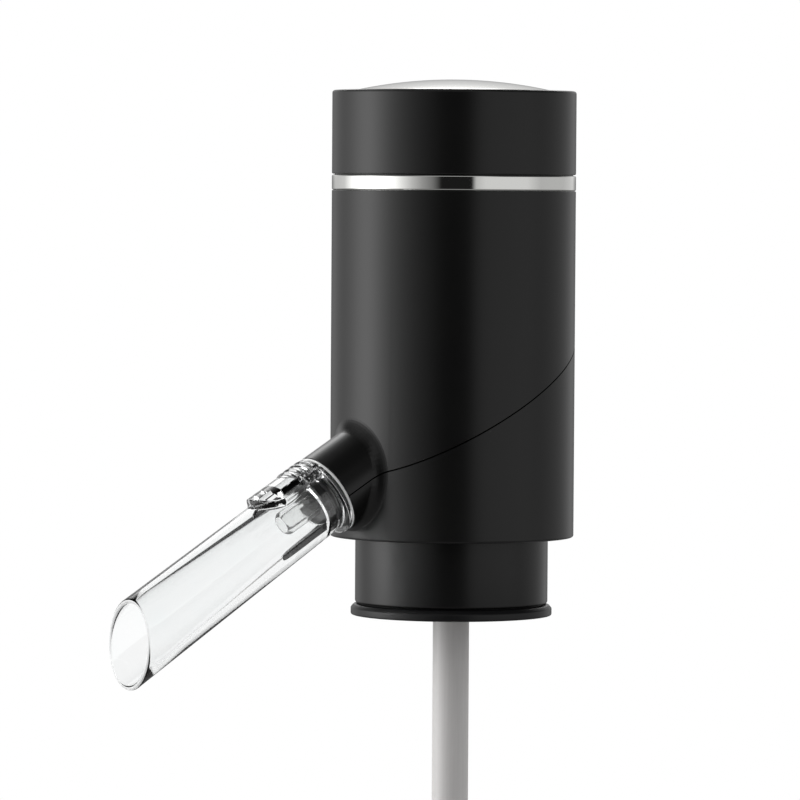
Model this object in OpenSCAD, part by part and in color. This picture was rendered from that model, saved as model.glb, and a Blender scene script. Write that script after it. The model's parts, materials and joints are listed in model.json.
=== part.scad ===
// Electric wine dispenser that is pushed onto a neck and seals it.
// A small air pump builds up pressure below it, the wine climbs the suction tube,
// turns in the manifold and runs out of the slanted clear spout.
// Millimetres, +Z up, spout towards -Y. The origin is the middle of the seat for the neck.

/* [Body] */
// Outside diameter of the round body
body_d = 55; // [54:0.5:62]
// Height of the body from its bottom edge to the trim ring
body_h = 78; // [77:0.5:86]
// Wall thickness of the two body shells
shell_wall = 1.8; // [1.4:0.1:2]
// Thickness of the lower shell's floor
floor_t = 2; // [1.5:0.1:3]
// Gap along the slanted seam between the shells
seam_gap = 0.3; // [0.1:0.05:0.5]
// Round on the body's bottom edge
bottom_edge_r = 0.5; // [0.2:0.1:1]
// Break on the other outer edges
edge_break = 0.2; // [0.1:0.05:0.3]
// Height of the locating tongue above the seam
tongue_h = 2; // [1:0.25:3]
// Thickness of the locating tongue
tongue_t = 0.9; // [0.7:0.05:1]

/* [Cap and button] */
// Height of the bright trim ring
ring_h = 3.4; // [2.4:0.1:5]
// Height of the twist cap
cap_h = 19; // [18:0.5:26]
// Wall thickness of the twist cap
cap_wall = 2; // [1.6:0.1:2.4]
// Thickness of the cap's top rim
cap_top_t = 2; // [1.5:0.1:3]
// Round on the cap's upper edge
cap_edge_r = 0.6; // [0.3:0.1:1.2]
// How far the cap turns from locked to free, in degrees
cap_turn = 45; // [35:1:50]
// Width of one bayonet lug, in degrees
lug_angle = 36; // [24:1:40]
// Diameter of the domed button
button_d = 45; // [38:0.5:46]
// Height of the button's crown above the cap
button_crown = 2.5; // [1.5:0.1:4]
// Wall thickness of the button
button_wall = 1.4; // [1:0.1:2]
// Travel of the button
button_travel = 0.8; // [0.4:0.1:1]

/* [Outlet and spout] */
// Downward slope of the spout, in degrees
spout_tilt = 30; // [26:0.5:32]
// Height of the spout's axis above the body's bottom, on the body's axis
spout_h = 30.2; // [29:0.2:31]
// Outside diameter of the outlet boss
boss_d = 18.6; // [17:0.2:19.4]
// Length of the boss beyond the body wall, on its axis
boss_len = 7.65; // [7.4:0.05:12]
// Radius of the blend between boss and body, at the top
blend_r = 5.2; // [2:0.1:6]
// Radius of the same blend, at the underside
blend_low_r = 1.2; // [0.8:0.05:1.25]
// Outside diameter of the clear spout at its root
spout_root_d = 15.7; // [15.2:0.1:17]
// Outside diameter of the clear spout at its mouth
spout_mouth_d = 16.9; // [15.6:0.1:20]
// Wall thickness of the clear spout
spout_wall = 2; // [1.4:0.1:2.4]
// Horizontal reach of the spout beyond the boss
spout_out = 51.3; // [40:0.5:70]
// Extra downward slope of the spout's tube, in degrees
spout_droop = 1.7; // [0:0.1:3]
// Width of the thumb tab on top of the spout
tab_w = 12.2; // [8:0.2:14]
// Length of the thumb tab
tab_len = 18.2; // [12:0.2:24]
// Height of the grip ridges on the thumb tab
ridge_h = 0.35; // [0.2:0.05:0.6]
// Diameter of the spigot that carries the spout
spigot_d = 12.6; // [11.6:0.1:13]
// Length of the spigot beyond the boss
spigot_len = 5; // [4:0.25:7]
// Diameter of the inner nozzle
nozzle_d = 5.6; // [4.8:0.1:6]
// Length of the nozzle beyond the spigot
nozzle_out = 9; // [4:0.5:14]
// Bore of the wine channel
channel_d = 3.4; // [2.6:0.1:4]
// Outside diameter of the manifold's pipes
manifold_d = 10.4; // [10:0.1:11]

/* [Neck] */
// Outside diameter of the neck collar
collar_d = 43.5; // [41:0.5:50]
// Visible height of the neck collar
collar_h = 15; // [12:0.5:22]
// Wall thickness of the neck collar
collar_wall = 2.75; // [1.8:0.05:3.2]
// Thickness of the collar's top plate
collar_plate_t = 3; // [2.6:0.1:4]
// Outside diameter of the soft lip
lip_d = 45.3; // [44.6:0.1:52]
// Height of the soft lip
lip_h = 2.3; // [1.6:0.1:3]
// Thickness of the soft web that rests on the neck's rim
web_t = 1.5; // [1:0.1:2.5]
// Hole in the soft web, for wine tube and air
web_hole_d = 18; // [17:0.2:19]
// Inside diameter of the soft sleeve round the neck
sleeve_d = 29.2; // [27.5:0.1:31]
// Height of the sealing ribs inside the soft sleeve
seal_rib = 0.7; // [0.3:0.05:1]

/* [Suction tube] */
// Outside diameter of the outer tube
tube_d = 8.2; // [7.6:0.1:8.4]
// Wall thickness of the outer tube
tube_wall = 0.9; // [0.7:0.05:1]
// Length of the outer tube
tube_len = 145; // [110:1:180]
// Depth of the outer tube in the manifold
tube_socket = 12; // [8:0.5:16]
// Outside diameter of the sliding inner tube
inner_tube_d = 5.6; // [5.2:0.1:5.8]
// Wall thickness of the inner tube
inner_tube_wall = 0.7; // [0.5:0.05:0.9]
// Length of the inner tube's slider, which stays in the outer tube when drawn out
slider_len = 14; // [8:0.5:24]

/* [Power] */
// Diameter of one AAA cell
cell_d = 10.5; // [10:0.1:10.8]
// Length of one AAA cell with its nub
cell_len = 44.5; // [43.5:0.1:45]
// Radial play of a cell in its tube
cell_play = 0.2; // [0.1:0.05:0.3]
// Wall of the cell tubes
cell_tube_wall = 0.8; // [0.6:0.05:1]
// Height of the contact springs, seated
contact_spring_h = 3.2; // [2.6:0.1:4]
// Thickness of the contact board
board_t = 1.6; // [1:0.1:2]
// Length of the motor can
motor_h = 20; // [17:0.5:20.5]
// Diameter of the motor shaft
shaft_d = 2; // [1.5:0.1:2.5]

/* [Pump] */
// Slant of the crank pin, in degrees
wobble_tilt = 6; // [3:0.5:7]
// Distance of the three pump cups from the pump's axis
cup_ring_r = 5.8; // [5.4:0.1:6]
// Outside diameter of one pump cup
cup_d = 6.6; // [5.6:0.1:7]
// Outside diameter of the air tube
air_tube_d = 4.6; // [4:0.1:4.8]
// Bore of the air tube
air_bore_d = 3; // [2.4:0.1:3.2]

/* [Fits] */
// Gap between pieces that move past each other
part_gap = 0.3; // [0.2:0.05:0.4]
// Radial clearance of a running fit
run_clear = 0.05; // [0.03:0.01:0.08]
// Radial clearance of a seated fit
seat_clear = 0.05; // [0.02:0.01:0.1]

/* [Hidden] */
$fn = 96;

// Levels along the body's axis, counted from the seat
z_body = web_t + collar_plate_t;
z_collar = z_body - collar_h;
z_lip = z_collar - lip_h;
z_floor = z_body + floor_t;
z_axis = z_body + spout_h;
z_top = z_body + body_h;
z_cap = z_top + ring_h;
z_crown = z_cap + cap_h;

// Radii of the shells
body_r = body_d / 2;
shell_in = body_r - shell_wall;
face_gap = 0.15;
tongue_out = shell_in - face_gap;
tongue_in = tongue_out - tongue_t;
tongue_root = 3;
root = 0.5;
rib_t = 2;
rebate_w = 0.9;
rebate_h = 1.2;
far = 400;

// Boss, blend and spout, measured along the spout's axis
boss_r = boss_d / 2;
boss_reach = body_r / cos(spout_tilt) + boss_len;
boss_start = 12;
spigot_r = spigot_d / 2;
boss_bore_r = spigot_r + 2 * seat_clear;
spigot_in = 10;
spigot_start = boss_reach - spigot_in;
spigot_end = boss_reach + spigot_len;
spout_start = boss_reach + face_gap;
flange_t = 1.6;
spout_bore_r = spigot_r + run_clear;
spigot_room = 0.6;
socket_end = spigot_end + spigot_room;
mouth_y = boss_reach * cos(spout_tilt) + spout_out;
tube_pivot = spout_start + flange_t;
mouth_len = (mouth_y - tube_pivot * cos(spout_tilt)) / cos(spout_tilt + spout_droop);
flare = (spout_mouth_d - spout_root_d) / 2 / mouth_len;
spout_long = mouth_len + spout_mouth_d;
tab_end = boss_reach + tab_len;
tab_drop = 0.15;
tab_r = boss_r - tab_drop;
tab_root = 2.4;
tab_base = spout_bore_r - tab_root;
ridge_step = 1.6;
ridge_count = 3;
blend_sides = 64;
blend_steps = 9;
blend_bite = 0.05;
blend_root = 0.6;
manifold_r = manifold_d / 2;
nozzle_r = nozzle_d / 2;
nozzle_in = 7;
nozzle_start = boss_reach - nozzle_in;
nozzle_edge = min(1, 0.4 * (nozzle_d - channel_d));
oring_wire = 1.8;
oring_gap = 0.02;
oring_room = 0.05;
notch_w = 2;
notch_depth = 1.2;
oring_at = boss_reach + spigot_len / 2;

// Bayonet of the cap, and the ring of cells inside it
lug_count = 3;
lug_depth = 0.8;
lug_h = 1.8;
tab_h = 1.5;
skirt_t = 0.8;
lug_gap = 0.4;
skirt_out = shell_in - lug_gap - lug_depth;
skirt_in = skirt_out - skirt_t;
lug_drop = 3.7;
lug_top = z_top - lug_drop;
stop_angle = 3;
stop_gap = 1;
skirt_low = lug_top - lug_h;
cell_gap = 0.45;
cell_ring_r = skirt_in - cell_gap - cell_d / 2;
cell_count = 6;
strip_count = 3;
cell_bore_r = cell_d / 2 + cell_play;
cell_tube_r = cell_bore_r + cell_tube_wall;
cell_web = 1.3;
well_r = cell_ring_r - cell_bore_r - cell_web;
well_wall = 1.2;
holder_drop = 1;
nub_h = 1;
cell_edge = 0.6;
nub_r = 1.9;
cap_gap = 0.2;
shoulder_t = 1.8;

// Contact board and what stands on it
pad_t = 0.3;
board_lift = 0.6;
contact_gap = 0.1;
strip_t = 0.4;
frame_t = 2;
frame_gap = 1.3;
cell_stack = frame_t + strip_t + contact_spring_h + cell_len + contact_gap + pad_t;
z_frame = max(z_axis + frame_gap, z_cap + board_lift - cell_stack);
z_strip = z_frame + frame_t;
z_cell = z_strip + strip_t + contact_spring_h;
z_cell_top = z_cell + cell_len;
z_board = z_cell_top + contact_gap + pad_t;
board_top = z_board + board_t;
board_r = skirt_in - part_gap;
strip_w = 6;
strip_gap = 0.2;
pad_w = 6;
pad_angle = 84;
strip_wire_r = 0.35;
spring_low_r = 3;
spring_high_r = 2.3;
strip_turns = 2.5;
switch_w = 6.2;
switch_h = 3.6;
plunger_r = 1.7;
plunger_out = 1.5;
plunger_gap = 0.1;
switch_floor = 0.6;
plunger_top = board_top + switch_h + plunger_out;

// Button
button_r = button_d / 2;
dome_r = (button_r * button_r + button_crown * button_crown) / (2 * button_crown);
dome_angle = asin(button_r / dome_r);
button_gap = 0.25;
button_hole_r = button_r + button_gap;
button_flange_w = 1.6;
button_flange_r = button_r + button_flange_w;
button_flange_t = 1.2;
stem_r = 3;
spring_r = 6;
spring_wire_r = 0.45;
spring_turns = 6;
spring_drop = 1.5;
spring_seat = 1;
spring_top = z_crown - spring_drop;

// Screws and the bosses that take them
screw_r = 1.25;
screw_head_r = 2.4;
screw_head_h = 1.6;
screw_slot_w = 0.6;
screw_slot_h = 0.7;
hole_room = 0.2;
pilot_r = screw_r + seat_clear;
pilot_over = 4;
boss_wall_r = 2.9;
frame_screw_ring = tongue_in - part_gap - boss_wall_r;
frame_screw_len = 10;
shell_boss_h = 22;
collar_screw_ring = 14;
collar_screw_len = 14;
post_r = 3.2;
board_screw_in = 3;
board_screw_ring = board_r - board_screw_in;
board_screw_len = 6;
board_boss_r = 2.4;
board_boss_h = 4.5;
sink_r = 2.15;
sink_h = 0.9;
screw_angles = [90, 210, 330];

// Neck collar and seal
collar_r = collar_d / 2;
collar_in = collar_r - collar_wall;
seal_out = collar_in - seat_clear;
sleeve_r = sleeve_d / 2;
lip_r = lip_d / 2;
lip_groove_h = 0.5;
lip_groove_in = min(0.85, collar_wall / 2);
lip_band = lip_h - lip_groove_h;
lip_low_r = min(0.7, 0.45 * lip_band);
lip_top_r = min(0.45, 0.45 * lip_band);
web_hole_r = web_hole_d / 2;
stem_hole_r = manifold_r + hole_room;
stem_low = -1;
rib_count = 3;
rib_from = 4.2;
sleeve_chamfer = 1.6;

// Air line from the pump down through the collar
air_gap = 0.7;
air_r = manifold_r + air_gap + air_tube_d / 2;
air_x = air_r * cos(45);
barb_r = air_bore_d / 2 - seat_clear;
barb_bore_r = 0.9;
barb_len = 5;
air_low = z_floor + part_gap;

// Suction tube
tube_r = tube_d / 2;
tube_in = tube_r - tube_wall;
z_tube_top = stem_low + tube_socket;
z_tube_end = z_tube_top - tube_len;
inner_r = inner_tube_d / 2;
slider_r = tube_in - run_clear;
inner_drop = 2;
z_inner_top = z_tube_top - inner_drop;
inner_out = 8;
z_inner_end = z_tube_end - inner_out;
guide_lip = 3;
guide_h = 11;
guide_wall = 1.2;
guide_r = tube_r + guide_wall;
foot_wall = 1.3;
foot_r = inner_r + foot_wall;
foot_h = 6;
foot_over = 3;
foot_slot_w = 1.8;
foot_slot_h = 1.6;

// Pump stack, from the cover up to the motor
pump_gap = 1.1;
pump_r = well_r - part_gap;
cover_t = 3;
valve_t = 2;
flex_t = 1.2;
nod_h = 4.4;
crank_lift = 6;
crank_t = 3;
crank_gap = 0.4;
plate_t = 1.5;
terminal_rise = 4;
pump_stack = cover_t + valve_t + flex_t + nod_h + crank_lift + crank_t + crank_gap + plate_t;
z_pump = max(z_axis + manifold_r + pump_gap, z_board - terminal_rise - motor_h - pump_stack);
z_valve = z_pump + cover_t;
z_flex = z_valve + valve_t;
z_housing = z_flex + flex_t;
cup_h = 2.4;
z_nod = z_housing + nod_h;
arm_t = 1.4;
arm_end_r = 1.9;
arm_w = 3;
arm_hole_r = 1.35;
cup_stem_r = 0.9;
cup_bead_r = 1.7;
cup_bead_h = 1;
cup_taper = 0.5;
cup_wall = 0.6;
hub_r = 2.2;
hub_top = 5.2;
pin_r = 0.8;
z_crank = z_nod + crank_lift;
crank_r = 4;
crank_floor = 0.7;
crank_grip = 0.02;
pin_start = 1.3;
pin_room = 0.3;
housing_wall = 1.3;
vent_r = 1;
valve_stem_r = 1;
valve_flap_r = 4.6;
valve_flap_t = 0.55;
outlet_ring_r = 3.4;
outlet_hole_r = 0.7;
inlet_shift = 1.4;
inlet_hole_r = 0.6;
cover_floor = 1.2;
cover_wall = 1.6;
z_motor = z_crank + crank_t + crank_gap + plate_t;
motor_gap = 0.4;
motor_r = pump_r - motor_gap;
can_wall = 0.8;
shaft_r = shaft_d / 2;
nose_r = 3;
nose_h = 1.2;
bell_t = 2;
bell_nose = 1.4;
bell_wall = 0.8;
terminal_x = 5;
terminal_w = 2;
terminal_t = 0.6;
terminal_foot = 2.4;
terminal_foot_t = 0.4;
slot_room = 0.05;
brush_room = 1.5;
z_motor_top = z_motor + motor_h;
magnet_t = 2.4;
magnet_in = motor_r - can_wall - seat_clear - magnet_t;
magnet_angle = 136;
stack_lift = 3;
stack_short = 10;
stack_core = 2.4;
stack_slot = 1.6;
commutator_r = 2.6;
commutator_h = 4;
shaft_over = 0.4;
rotor_gap = 0.5;
rotor_r = magnet_in - rotor_gap;
ledge_w = 0.9;
ledge_r = pump_r - ledge_w;
ledge_t = 1.5;

// Points of a circular arc in a profile
function arc(x, y, r, from, to, steps) =
  [for (i = [0:steps]) [x + r * cos(from + (to - from) * i / steps),
                        y + r * sin(from + (to - from) * i / steps)]];

// Frame whose +Z runs out along the spout and whose +Y stands off its upper side
module spout_frame() {
  translate([0, 0, z_axis]) rotate([90 + spout_tilt, 0, 0]) children();
}

// Space above the slanted seam, lifted by a distance
module above_seam(lift) {
  spout_frame() translate([-far / 2, lift, -far / 2]) cube([far, far, far]);
}

// Space below the slanted seam, raised by a distance
module below_seam(lift) {
  spout_frame() translate([-far / 2, lift - far, -far / 2]) cube([far, far, far]);
}

// Flat ring round the body's axis
module ring(inner, outer, low, high) {
  translate([0, 0, low]) difference() {
    cylinder(r = outer, h = high - low);
    translate([0, 0, -1]) cylinder(r = inner, h = high - low + 2);
  }
}

// Sector of a flat ring, centred on an angle
module sector(inner, outer, low, high, middle, width) {
  translate([0, 0, low]) rotate([0, 0, middle - width / 2])
    rotate_extrude(angle = width) translate([inner, 0]) square([outer - inner, high - low]);
}

// Copies at each screw's angle, at a distance from the axis
module at_screws(ring_r) {
  for (a = screw_angles) rotate([0, 0, a]) translate([ring_r, 0, 0]) children();
}

// Closed tube through rings of points, capped at both ends
module swept_tube(rings) {
  n = len(rings);
  k = len(rings[0]);
  polyhedron(
    points = [for (r = rings) for (p = r) p],
    faces = concat(
      [[for (j = [0:k - 1]) k - 1 - j]],
      [for (i = [0:n - 2]) for (j = [0:k - 1]) each [
        [i * k + j, (i + 1) * k + (j + 1) % k, (i + 1) * k + j],
        [i * k + j, i * k + (j + 1) % k, (i + 1) * k + (j + 1) % k]]],
      [[for (j = [0:k - 1]) (n - 1) * k + j]]
    )
  );
}

// Round wire wound up the Z axis from one radius to another
module coil(low_r, high_r, wire_r, low, high, turns) {
  steps = 8 * turns;
  sides = 6;
  rise = high - low - 2 * wire_r;
  swept_tube([for (i = [0:steps])
    let (a = 360 * i / 8, r = low_r + (high_r - low_r) * i / steps, z = low + wire_r + rise * i / steps)
    [for (j = [0:sides - 1])
      let (q = 360 * j / sides, d = r + wire_r * cos(q))
      [d * cos(a), d * sin(a), z + wire_r * sin(q)]]]);
}

// Blend between boss and body: a ball rolls round their corner and shrinks towards the underside
boss_up = [0, -sin(spout_tilt), cos(spout_tilt)];
boss_out = [0, -cos(spout_tilt), -sin(spout_tilt)];
function ball_r(phi) = blend_r + (blend_low_r - blend_r) * pow((1 - cos(phi)) / 2, 2);
function boss_side(phi) = cos(phi) * boss_up + sin(phi) * [1, 0, 0];
function ball_at(phi) =
  let (lift = ball_r(phi) - blend_bite, r = boss_r + lift, x = r * sin(phi), wall = body_r + lift)
  [0, 0, z_axis] + r * boss_side(phi)
    + (sqrt(wall * wall - x * x) - r * cos(phi) * sin(spout_tilt)) / cos(spout_tilt) * boss_out;
function wall_side(c) = [c.x, c.y, 0] / norm([c.x, c.y]);
function blend_section(phi) =
  let (c = ball_at(phi), r = ball_r(phi), m = boss_side(phi), h = wall_side(c), w = acos(m * h))
  concat(
    [for (i = [0:blend_steps]) let (t = i / blend_steps)
      c - r * (sin((1 - t) * w) * m + sin(t * w) * h) / sin(w)],
    [c - (r + blend_root) * h, c - (r + blend_root) * (m + h) / (1 + m * h), c - (r + blend_root) * m]
  );
module boss_blend() {
  sections = [for (i = [0:blend_sides - 1]) blend_section(360 * i / blend_sides)];
  k = len(sections[0]);
  polyhedron(
    points = [for (s = sections) for (p = s) p],
    faces = [for (i = [0:blend_sides - 1]) for (j = [0:k - 1]) let (n = (i + 1) % blend_sides) each [
      [i * k + j, i * k + (j + 1) % k, n * k + (j + 1) % k],
      [i * k + j, n * k + (j + 1) % k, n * k + j]]]
  );
}

// Whole housing before it is cut along the seam
module housing() {
  difference() {
    union() {
      rotate_extrude() polygon(concat(
        [[0, z_top], [0, z_body]],
        arc(body_r - bottom_edge_r, z_body + bottom_edge_r, bottom_edge_r, -90, 0, 4),
        [[body_r, z_top - edge_break], [body_r - edge_break, z_top]]
      ));
      spout_frame() translate([0, 0, boss_start]) cylinder(r = boss_r, h = boss_reach - boss_start);
      boss_blend();
    }
    translate([0, 0, z_floor]) cylinder(r = shell_in, h = body_h);
    spout_frame() cylinder(r = boss_bore_r, h = boss_reach + 1);
  }
}

module upper_shell() {
  color("#1d1d1f") difference() {
    union() {
      intersection() {
        housing();
        above_seam(seam_gap / 2);
      }
      for (i = [0:lug_count - 1])
        sector(skirt_out + part_gap, shell_in + root, lug_top + part_gap, lug_top + part_gap + tab_h,
               i * 360 / lug_count, lug_angle);
      for (i = [0:lug_count - 1]) {
        lug_stop(i * 360 / lug_count - lug_angle / 2 - stop_gap - stop_angle / 2);
        lug_stop(i * 360 / lug_count + lug_angle / 2 + cap_turn + stop_gap + stop_angle / 2);
      }
      at_screws(frame_screw_ring) translate([0, 0, z_frame + frame_t])
        cylinder(r = boss_wall_r, h = shell_boss_h);
      intersection() {
        at_screws(frame_screw_ring) translate([0, -rib_t / 2, z_frame + frame_t])
          cube([shell_in + root - frame_screw_ring, rib_t, shell_boss_h]);
        above_seam(tongue_h + part_gap);
      }
    }
    ring(shell_in - 1, shell_in + rebate_w, z_top - rebate_h, z_top + 1);
    at_screws(frame_screw_ring) translate([0, 0, z_frame])
      cylinder(r = pilot_r, h = frame_screw_len + pilot_over);
  }
}

// Stop that ends the turn of a bayonet lug
module lug_stop(middle) {
  sector(skirt_out + part_gap, shell_in + root, skirt_low, lug_top, middle, stop_angle);
}

module lower_shell() {
  color("#1d1d1f") difference() {
    union() {
      intersection() {
        housing();
        below_seam(-seam_gap / 2);
      }
      intersection() {
        ring(tongue_in, shell_in + root, z_floor, z_top);
        above_seam(-tongue_root);
        below_seam(-seam_gap / 2);
      }
      intersection() {
        ring(tongue_in, tongue_out, z_floor, z_top);
        above_seam(-tongue_root);
        below_seam(tongue_h);
      }
    }
    spout_frame() cylinder(r = boss_bore_r, h = boss_reach + 1);
    translate([0, 0, z_body - 1]) cylinder(r = stem_hole_r, h = floor_t + 2);
    translate([air_x, air_x, z_body - 1]) cylinder(r = barb_r + part_gap, h = floor_t + 2);
    at_screws(collar_screw_ring) translate([0, 0, z_body - 1])
      cylinder(r = screw_r + hole_room, h = floor_t + 2);
  }
}

module trim_ring() {
  color("#d9dadc") union() {
    rotate_extrude() polygon([
      [shell_in + seat_clear, z_top], [body_r - edge_break, z_top], [body_r, z_top + edge_break],
      [body_r, z_cap - edge_break], [body_r - edge_break, z_cap], [shell_in + seat_clear, z_cap]
    ]);
    ring(shell_in + seat_clear, shell_in + rebate_w - seat_clear,
         z_top - rebate_h + contact_gap, z_top + root);
  }
}

module top_cap() {
  low = z_cap + cap_gap;
  cap_in = body_r - cap_wall;
  shoulder = low + shoulder_t;
  color("#1d1d1f") difference() {
    union() {
      rotate_extrude() polygon(concat(
        [[skirt_in, skirt_low], [skirt_out, skirt_low], [skirt_out, low],
         [body_r - edge_break, low], [body_r, low + edge_break]],
        arc(body_r - cap_edge_r, z_crown - cap_edge_r, cap_edge_r, 0, 90, 4),
        [[button_hole_r + edge_break, z_crown], [button_hole_r, z_crown - edge_break],
         [button_hole_r, z_crown - cap_top_t], [cap_in, z_crown - cap_top_t],
         [cap_in, shoulder], [skirt_in, shoulder]]
      ));
      for (i = [0:lug_count - 1])
        sector(skirt_in + skirt_t / 4, skirt_out + lug_depth, skirt_low, lug_top,
               i * 360 / lug_count, lug_angle);
      at_screws(board_screw_ring) translate([0, 0, board_top]) {
        cylinder(r = board_boss_r, h = board_boss_h);
        translate([0, -rib_t / 2, board_boss_h / 2])
          cube([cap_in + root - board_screw_ring, rib_t, board_boss_h / 2]);
      }
    }
    at_screws(board_screw_ring) translate([0, 0, z_board])
      cylinder(r = pilot_r, h = board_screw_len + root);
  }
}

module button_dome() {
  dome_z = z_crown + button_crown - dome_r;
  inner_r = dome_r - button_wall;
  flange_top = z_crown - cap_top_t - contact_gap;
  stem_low = plunger_top + seat_clear;
  under = z_crown + button_crown - button_wall;
  flange_low = flange_top - button_flange_t;
  well = button_r - button_wall;
  color("#cfd1d4") union() {
    rotate_extrude() polygon(concat(
      arc(0, dome_z, dome_r, 90, 90 - dome_angle, 12),
      [[button_r, flange_top], [button_flange_r, flange_top],
       [button_flange_r, flange_low], [well, flange_low]],
      arc(0, dome_z, inner_r, 90 - asin(well / inner_r), 90, 12)
    ));
    ring(spring_r - spring_seat, spring_r + spring_seat, spring_top, under);
    translate([0, 0, stem_low]) cylinder(r = stem_r, h = under + button_wall / 2 - stem_low);
  }
}

module button_spring() {
  color("#b9bcc0") coil(spring_r, spring_r, spring_wire_r, board_top, spring_top, spring_turns);
}

module switch_body() {
  color("#2a2a2c") difference() {
    translate([-switch_w / 2, -switch_w / 2, board_top]) cube([switch_w, switch_w, switch_h]);
    translate([0, 0, board_top + switch_floor]) cylinder(r = plunger_r + plunger_gap, h = switch_h);
  }
}

module switch_plunger() {
  low = board_top + switch_floor + button_travel + hole_room;
  color("#e8e6df") translate([0, 0, low]) cylinder(r = plunger_r, h = plunger_top - low);
}

module contact_board() {
  color("#1f5c3a") difference() {
    translate([0, 0, z_board]) cylinder(r = board_r, h = board_t);
    at_screws(board_screw_ring) {
      translate([0, 0, z_board - 1]) cylinder(r = pilot_r, h = board_t + 2);
      translate([0, 0, z_board]) cylinder(r1 = sink_r, r2 = pilot_r, h = sink_h);
    }
  }
}

module board_pads() {
  color("#c8954a") union() {
    for (i = [0:strip_count - 1])
      sector(cell_ring_r - pad_w / 2, cell_ring_r + pad_w / 2, z_board - pad_t, z_board,
             strip_turn(i), pad_angle);
    for (s = [-1, 1]) translate([s * terminal_x - pad_w / 4, -pad_w / 4, z_board - pad_t])
      cube([pad_w / 2, pad_w / 2, pad_t]);
  }
}

module board_screws() {
  color("#a9acb0") at_screws(board_screw_ring) translate([0, 0, z_board]) {
    cylinder(r1 = sink_r - seat_clear, r2 = screw_r, h = sink_h - seat_clear);
    cylinder(r = screw_r, h = board_screw_len);
  }
}

module battery_holder() {
  holder_top = skirt_low - holder_drop;
  color("#3a3b3e") difference() {
    union() {
      translate([0, 0, z_frame]) cylinder(r = tongue_in - part_gap, h = frame_t);
      for (i = [0:cell_count - 1]) rotate([0, 0, i * 360 / cell_count])
        translate([cell_ring_r, 0, z_frame + root]) cylinder(r = cell_tube_r, h = holder_top - z_frame);
      translate([0, 0, z_frame + root]) cylinder(r = well_r + well_wall, h = holder_top - z_frame);
      at_screws(collar_screw_ring) translate([0, 0, z_floor])
        cylinder(r = post_r, h = z_frame - z_floor + root);
    }
    translate([0, 0, holder_top]) cylinder(r = body_r, h = body_h);
    translate([0, 0, z_pump]) cylinder(r = well_r, h = body_h);
    translate([0, 0, z_frame - 1]) cylinder(r = well_r, h = z_pump - ledge_t - z_frame + 1);
    translate([0, 0, z_frame - 1]) cylinder(r = ledge_r, h = body_h);
    for (i = [0:cell_count - 1]) rotate([0, 0, i * 360 / cell_count]) translate([cell_ring_r, 0, z_strip])
      cylinder(r = cell_bore_r, h = body_h);
    for (i = [0:strip_count - 1]) rotate([0, 0, strip_turn(i)]) strip_recess();
    at_screws(collar_screw_ring) translate([0, 0, z_floor - 1]) cylinder(r = pilot_r, h = collar_screw_len);
    at_screws(frame_screw_ring) translate([0, 0, z_frame - 1])
      cylinder(r = screw_r + hole_room, h = frame_t + 2);
  }
}

// Angle of a bridging strip, midway between the two cells that it joins
function strip_turn(index) = (2 * index + 0.5) * 360 / cell_count;

// Slot through the wall between two neighbouring cell tubes, for their bridging strip
module strip_recess() {
  span = cell_ring_r * sin(180 / cell_count) + strip_gap;
  translate([cell_ring_r * cos(180 / cell_count) - strip_w / 2 - strip_gap, -span, z_strip])
    cube([strip_w + 2 * strip_gap, 2 * span, contact_spring_h / 2]);
}

module cell(index) {
  up = index % 2 == 0;
  shoulder = cell_d / 2 - cell_edge;
  jacket = cell_len - nub_h;
  rotate([0, 0, index * 360 / cell_count]) translate([cell_ring_r, 0, z_cell]) {
    color("#2f4a63") translate([0, 0, up ? 0 : nub_h]) rotate_extrude() polygon(concat(
      [[0, 0]],
      arc(shoulder, cell_edge, cell_edge, -90, 0, 4),
      arc(shoulder, jacket - cell_edge, cell_edge, 0, 90, 4),
      [[0, jacket]]
    ));
    color("#c9cbce") translate([0, 0, up ? cell_len - nub_h - root : 0])
      cylinder(r = nub_r, h = nub_h + root);
  }
}

module contact_strip(index) {
  half = cell_ring_r * sin(180 / cell_count);
  middle = cell_ring_r * cos(180 / cell_count);
  spring_foot = z_strip + strip_t / 4;
  color("#b9bcc0") rotate([0, 0, strip_turn(index)]) translate([middle, 0, 0]) {
    translate([-strip_w / 2, -half, z_strip]) cube([strip_w, 2 * half, strip_t]);
    for (s = [-1, 1]) translate([0, s * half, 0])
      coil(spring_low_r, spring_high_r, strip_wire_r, spring_foot, z_cell - seat_clear, strip_turns);
  }
}

// Pan-head screw standing up from its head
module pan_screw(len) {
  difference() {
    cylinder(r = screw_head_r, h = screw_head_h);
    translate([-screw_head_r, -screw_slot_w / 2, -1])
      cube([2 * screw_head_r, screw_slot_w, screw_slot_h + 1]);
  }
  translate([0, 0, screw_slot_h]) cylinder(r = screw_r, h = len + screw_head_h - screw_slot_h);
}

module frame_screws() {
  color("#a9acb0") at_screws(frame_screw_ring) translate([0, 0, z_frame - screw_head_h])
    pan_screw(frame_screw_len);
}

module collar_screws() {
  color("#a9acb0") at_screws(collar_screw_ring) translate([0, 0, web_t])
    pan_screw(collar_screw_len - root);
}

module motor_can() {
  color("#9fa3a8") difference() {
    union() {
      translate([0, 0, z_motor]) cylinder(r = motor_r, h = motor_h);
      translate([0, 0, z_motor - nose_h]) cylinder(r = nose_r, h = nose_h + 1);
    }
    translate([0, 0, z_motor + can_wall]) cylinder(r = motor_r - can_wall, h = motor_h);
    translate([0, 0, z_motor - nose_h - 1]) cylinder(r = shaft_r + run_clear, h = motor_h);
  }
}

module motor_magnets() {
  top = z_motor_top - bell_t - brush_room;
  color("#4a4442") for (i = [0, 1])
    sector(magnet_in, magnet_in + magnet_t, z_motor + can_wall, top, 90 + i * 180, magnet_angle);
}

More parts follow.
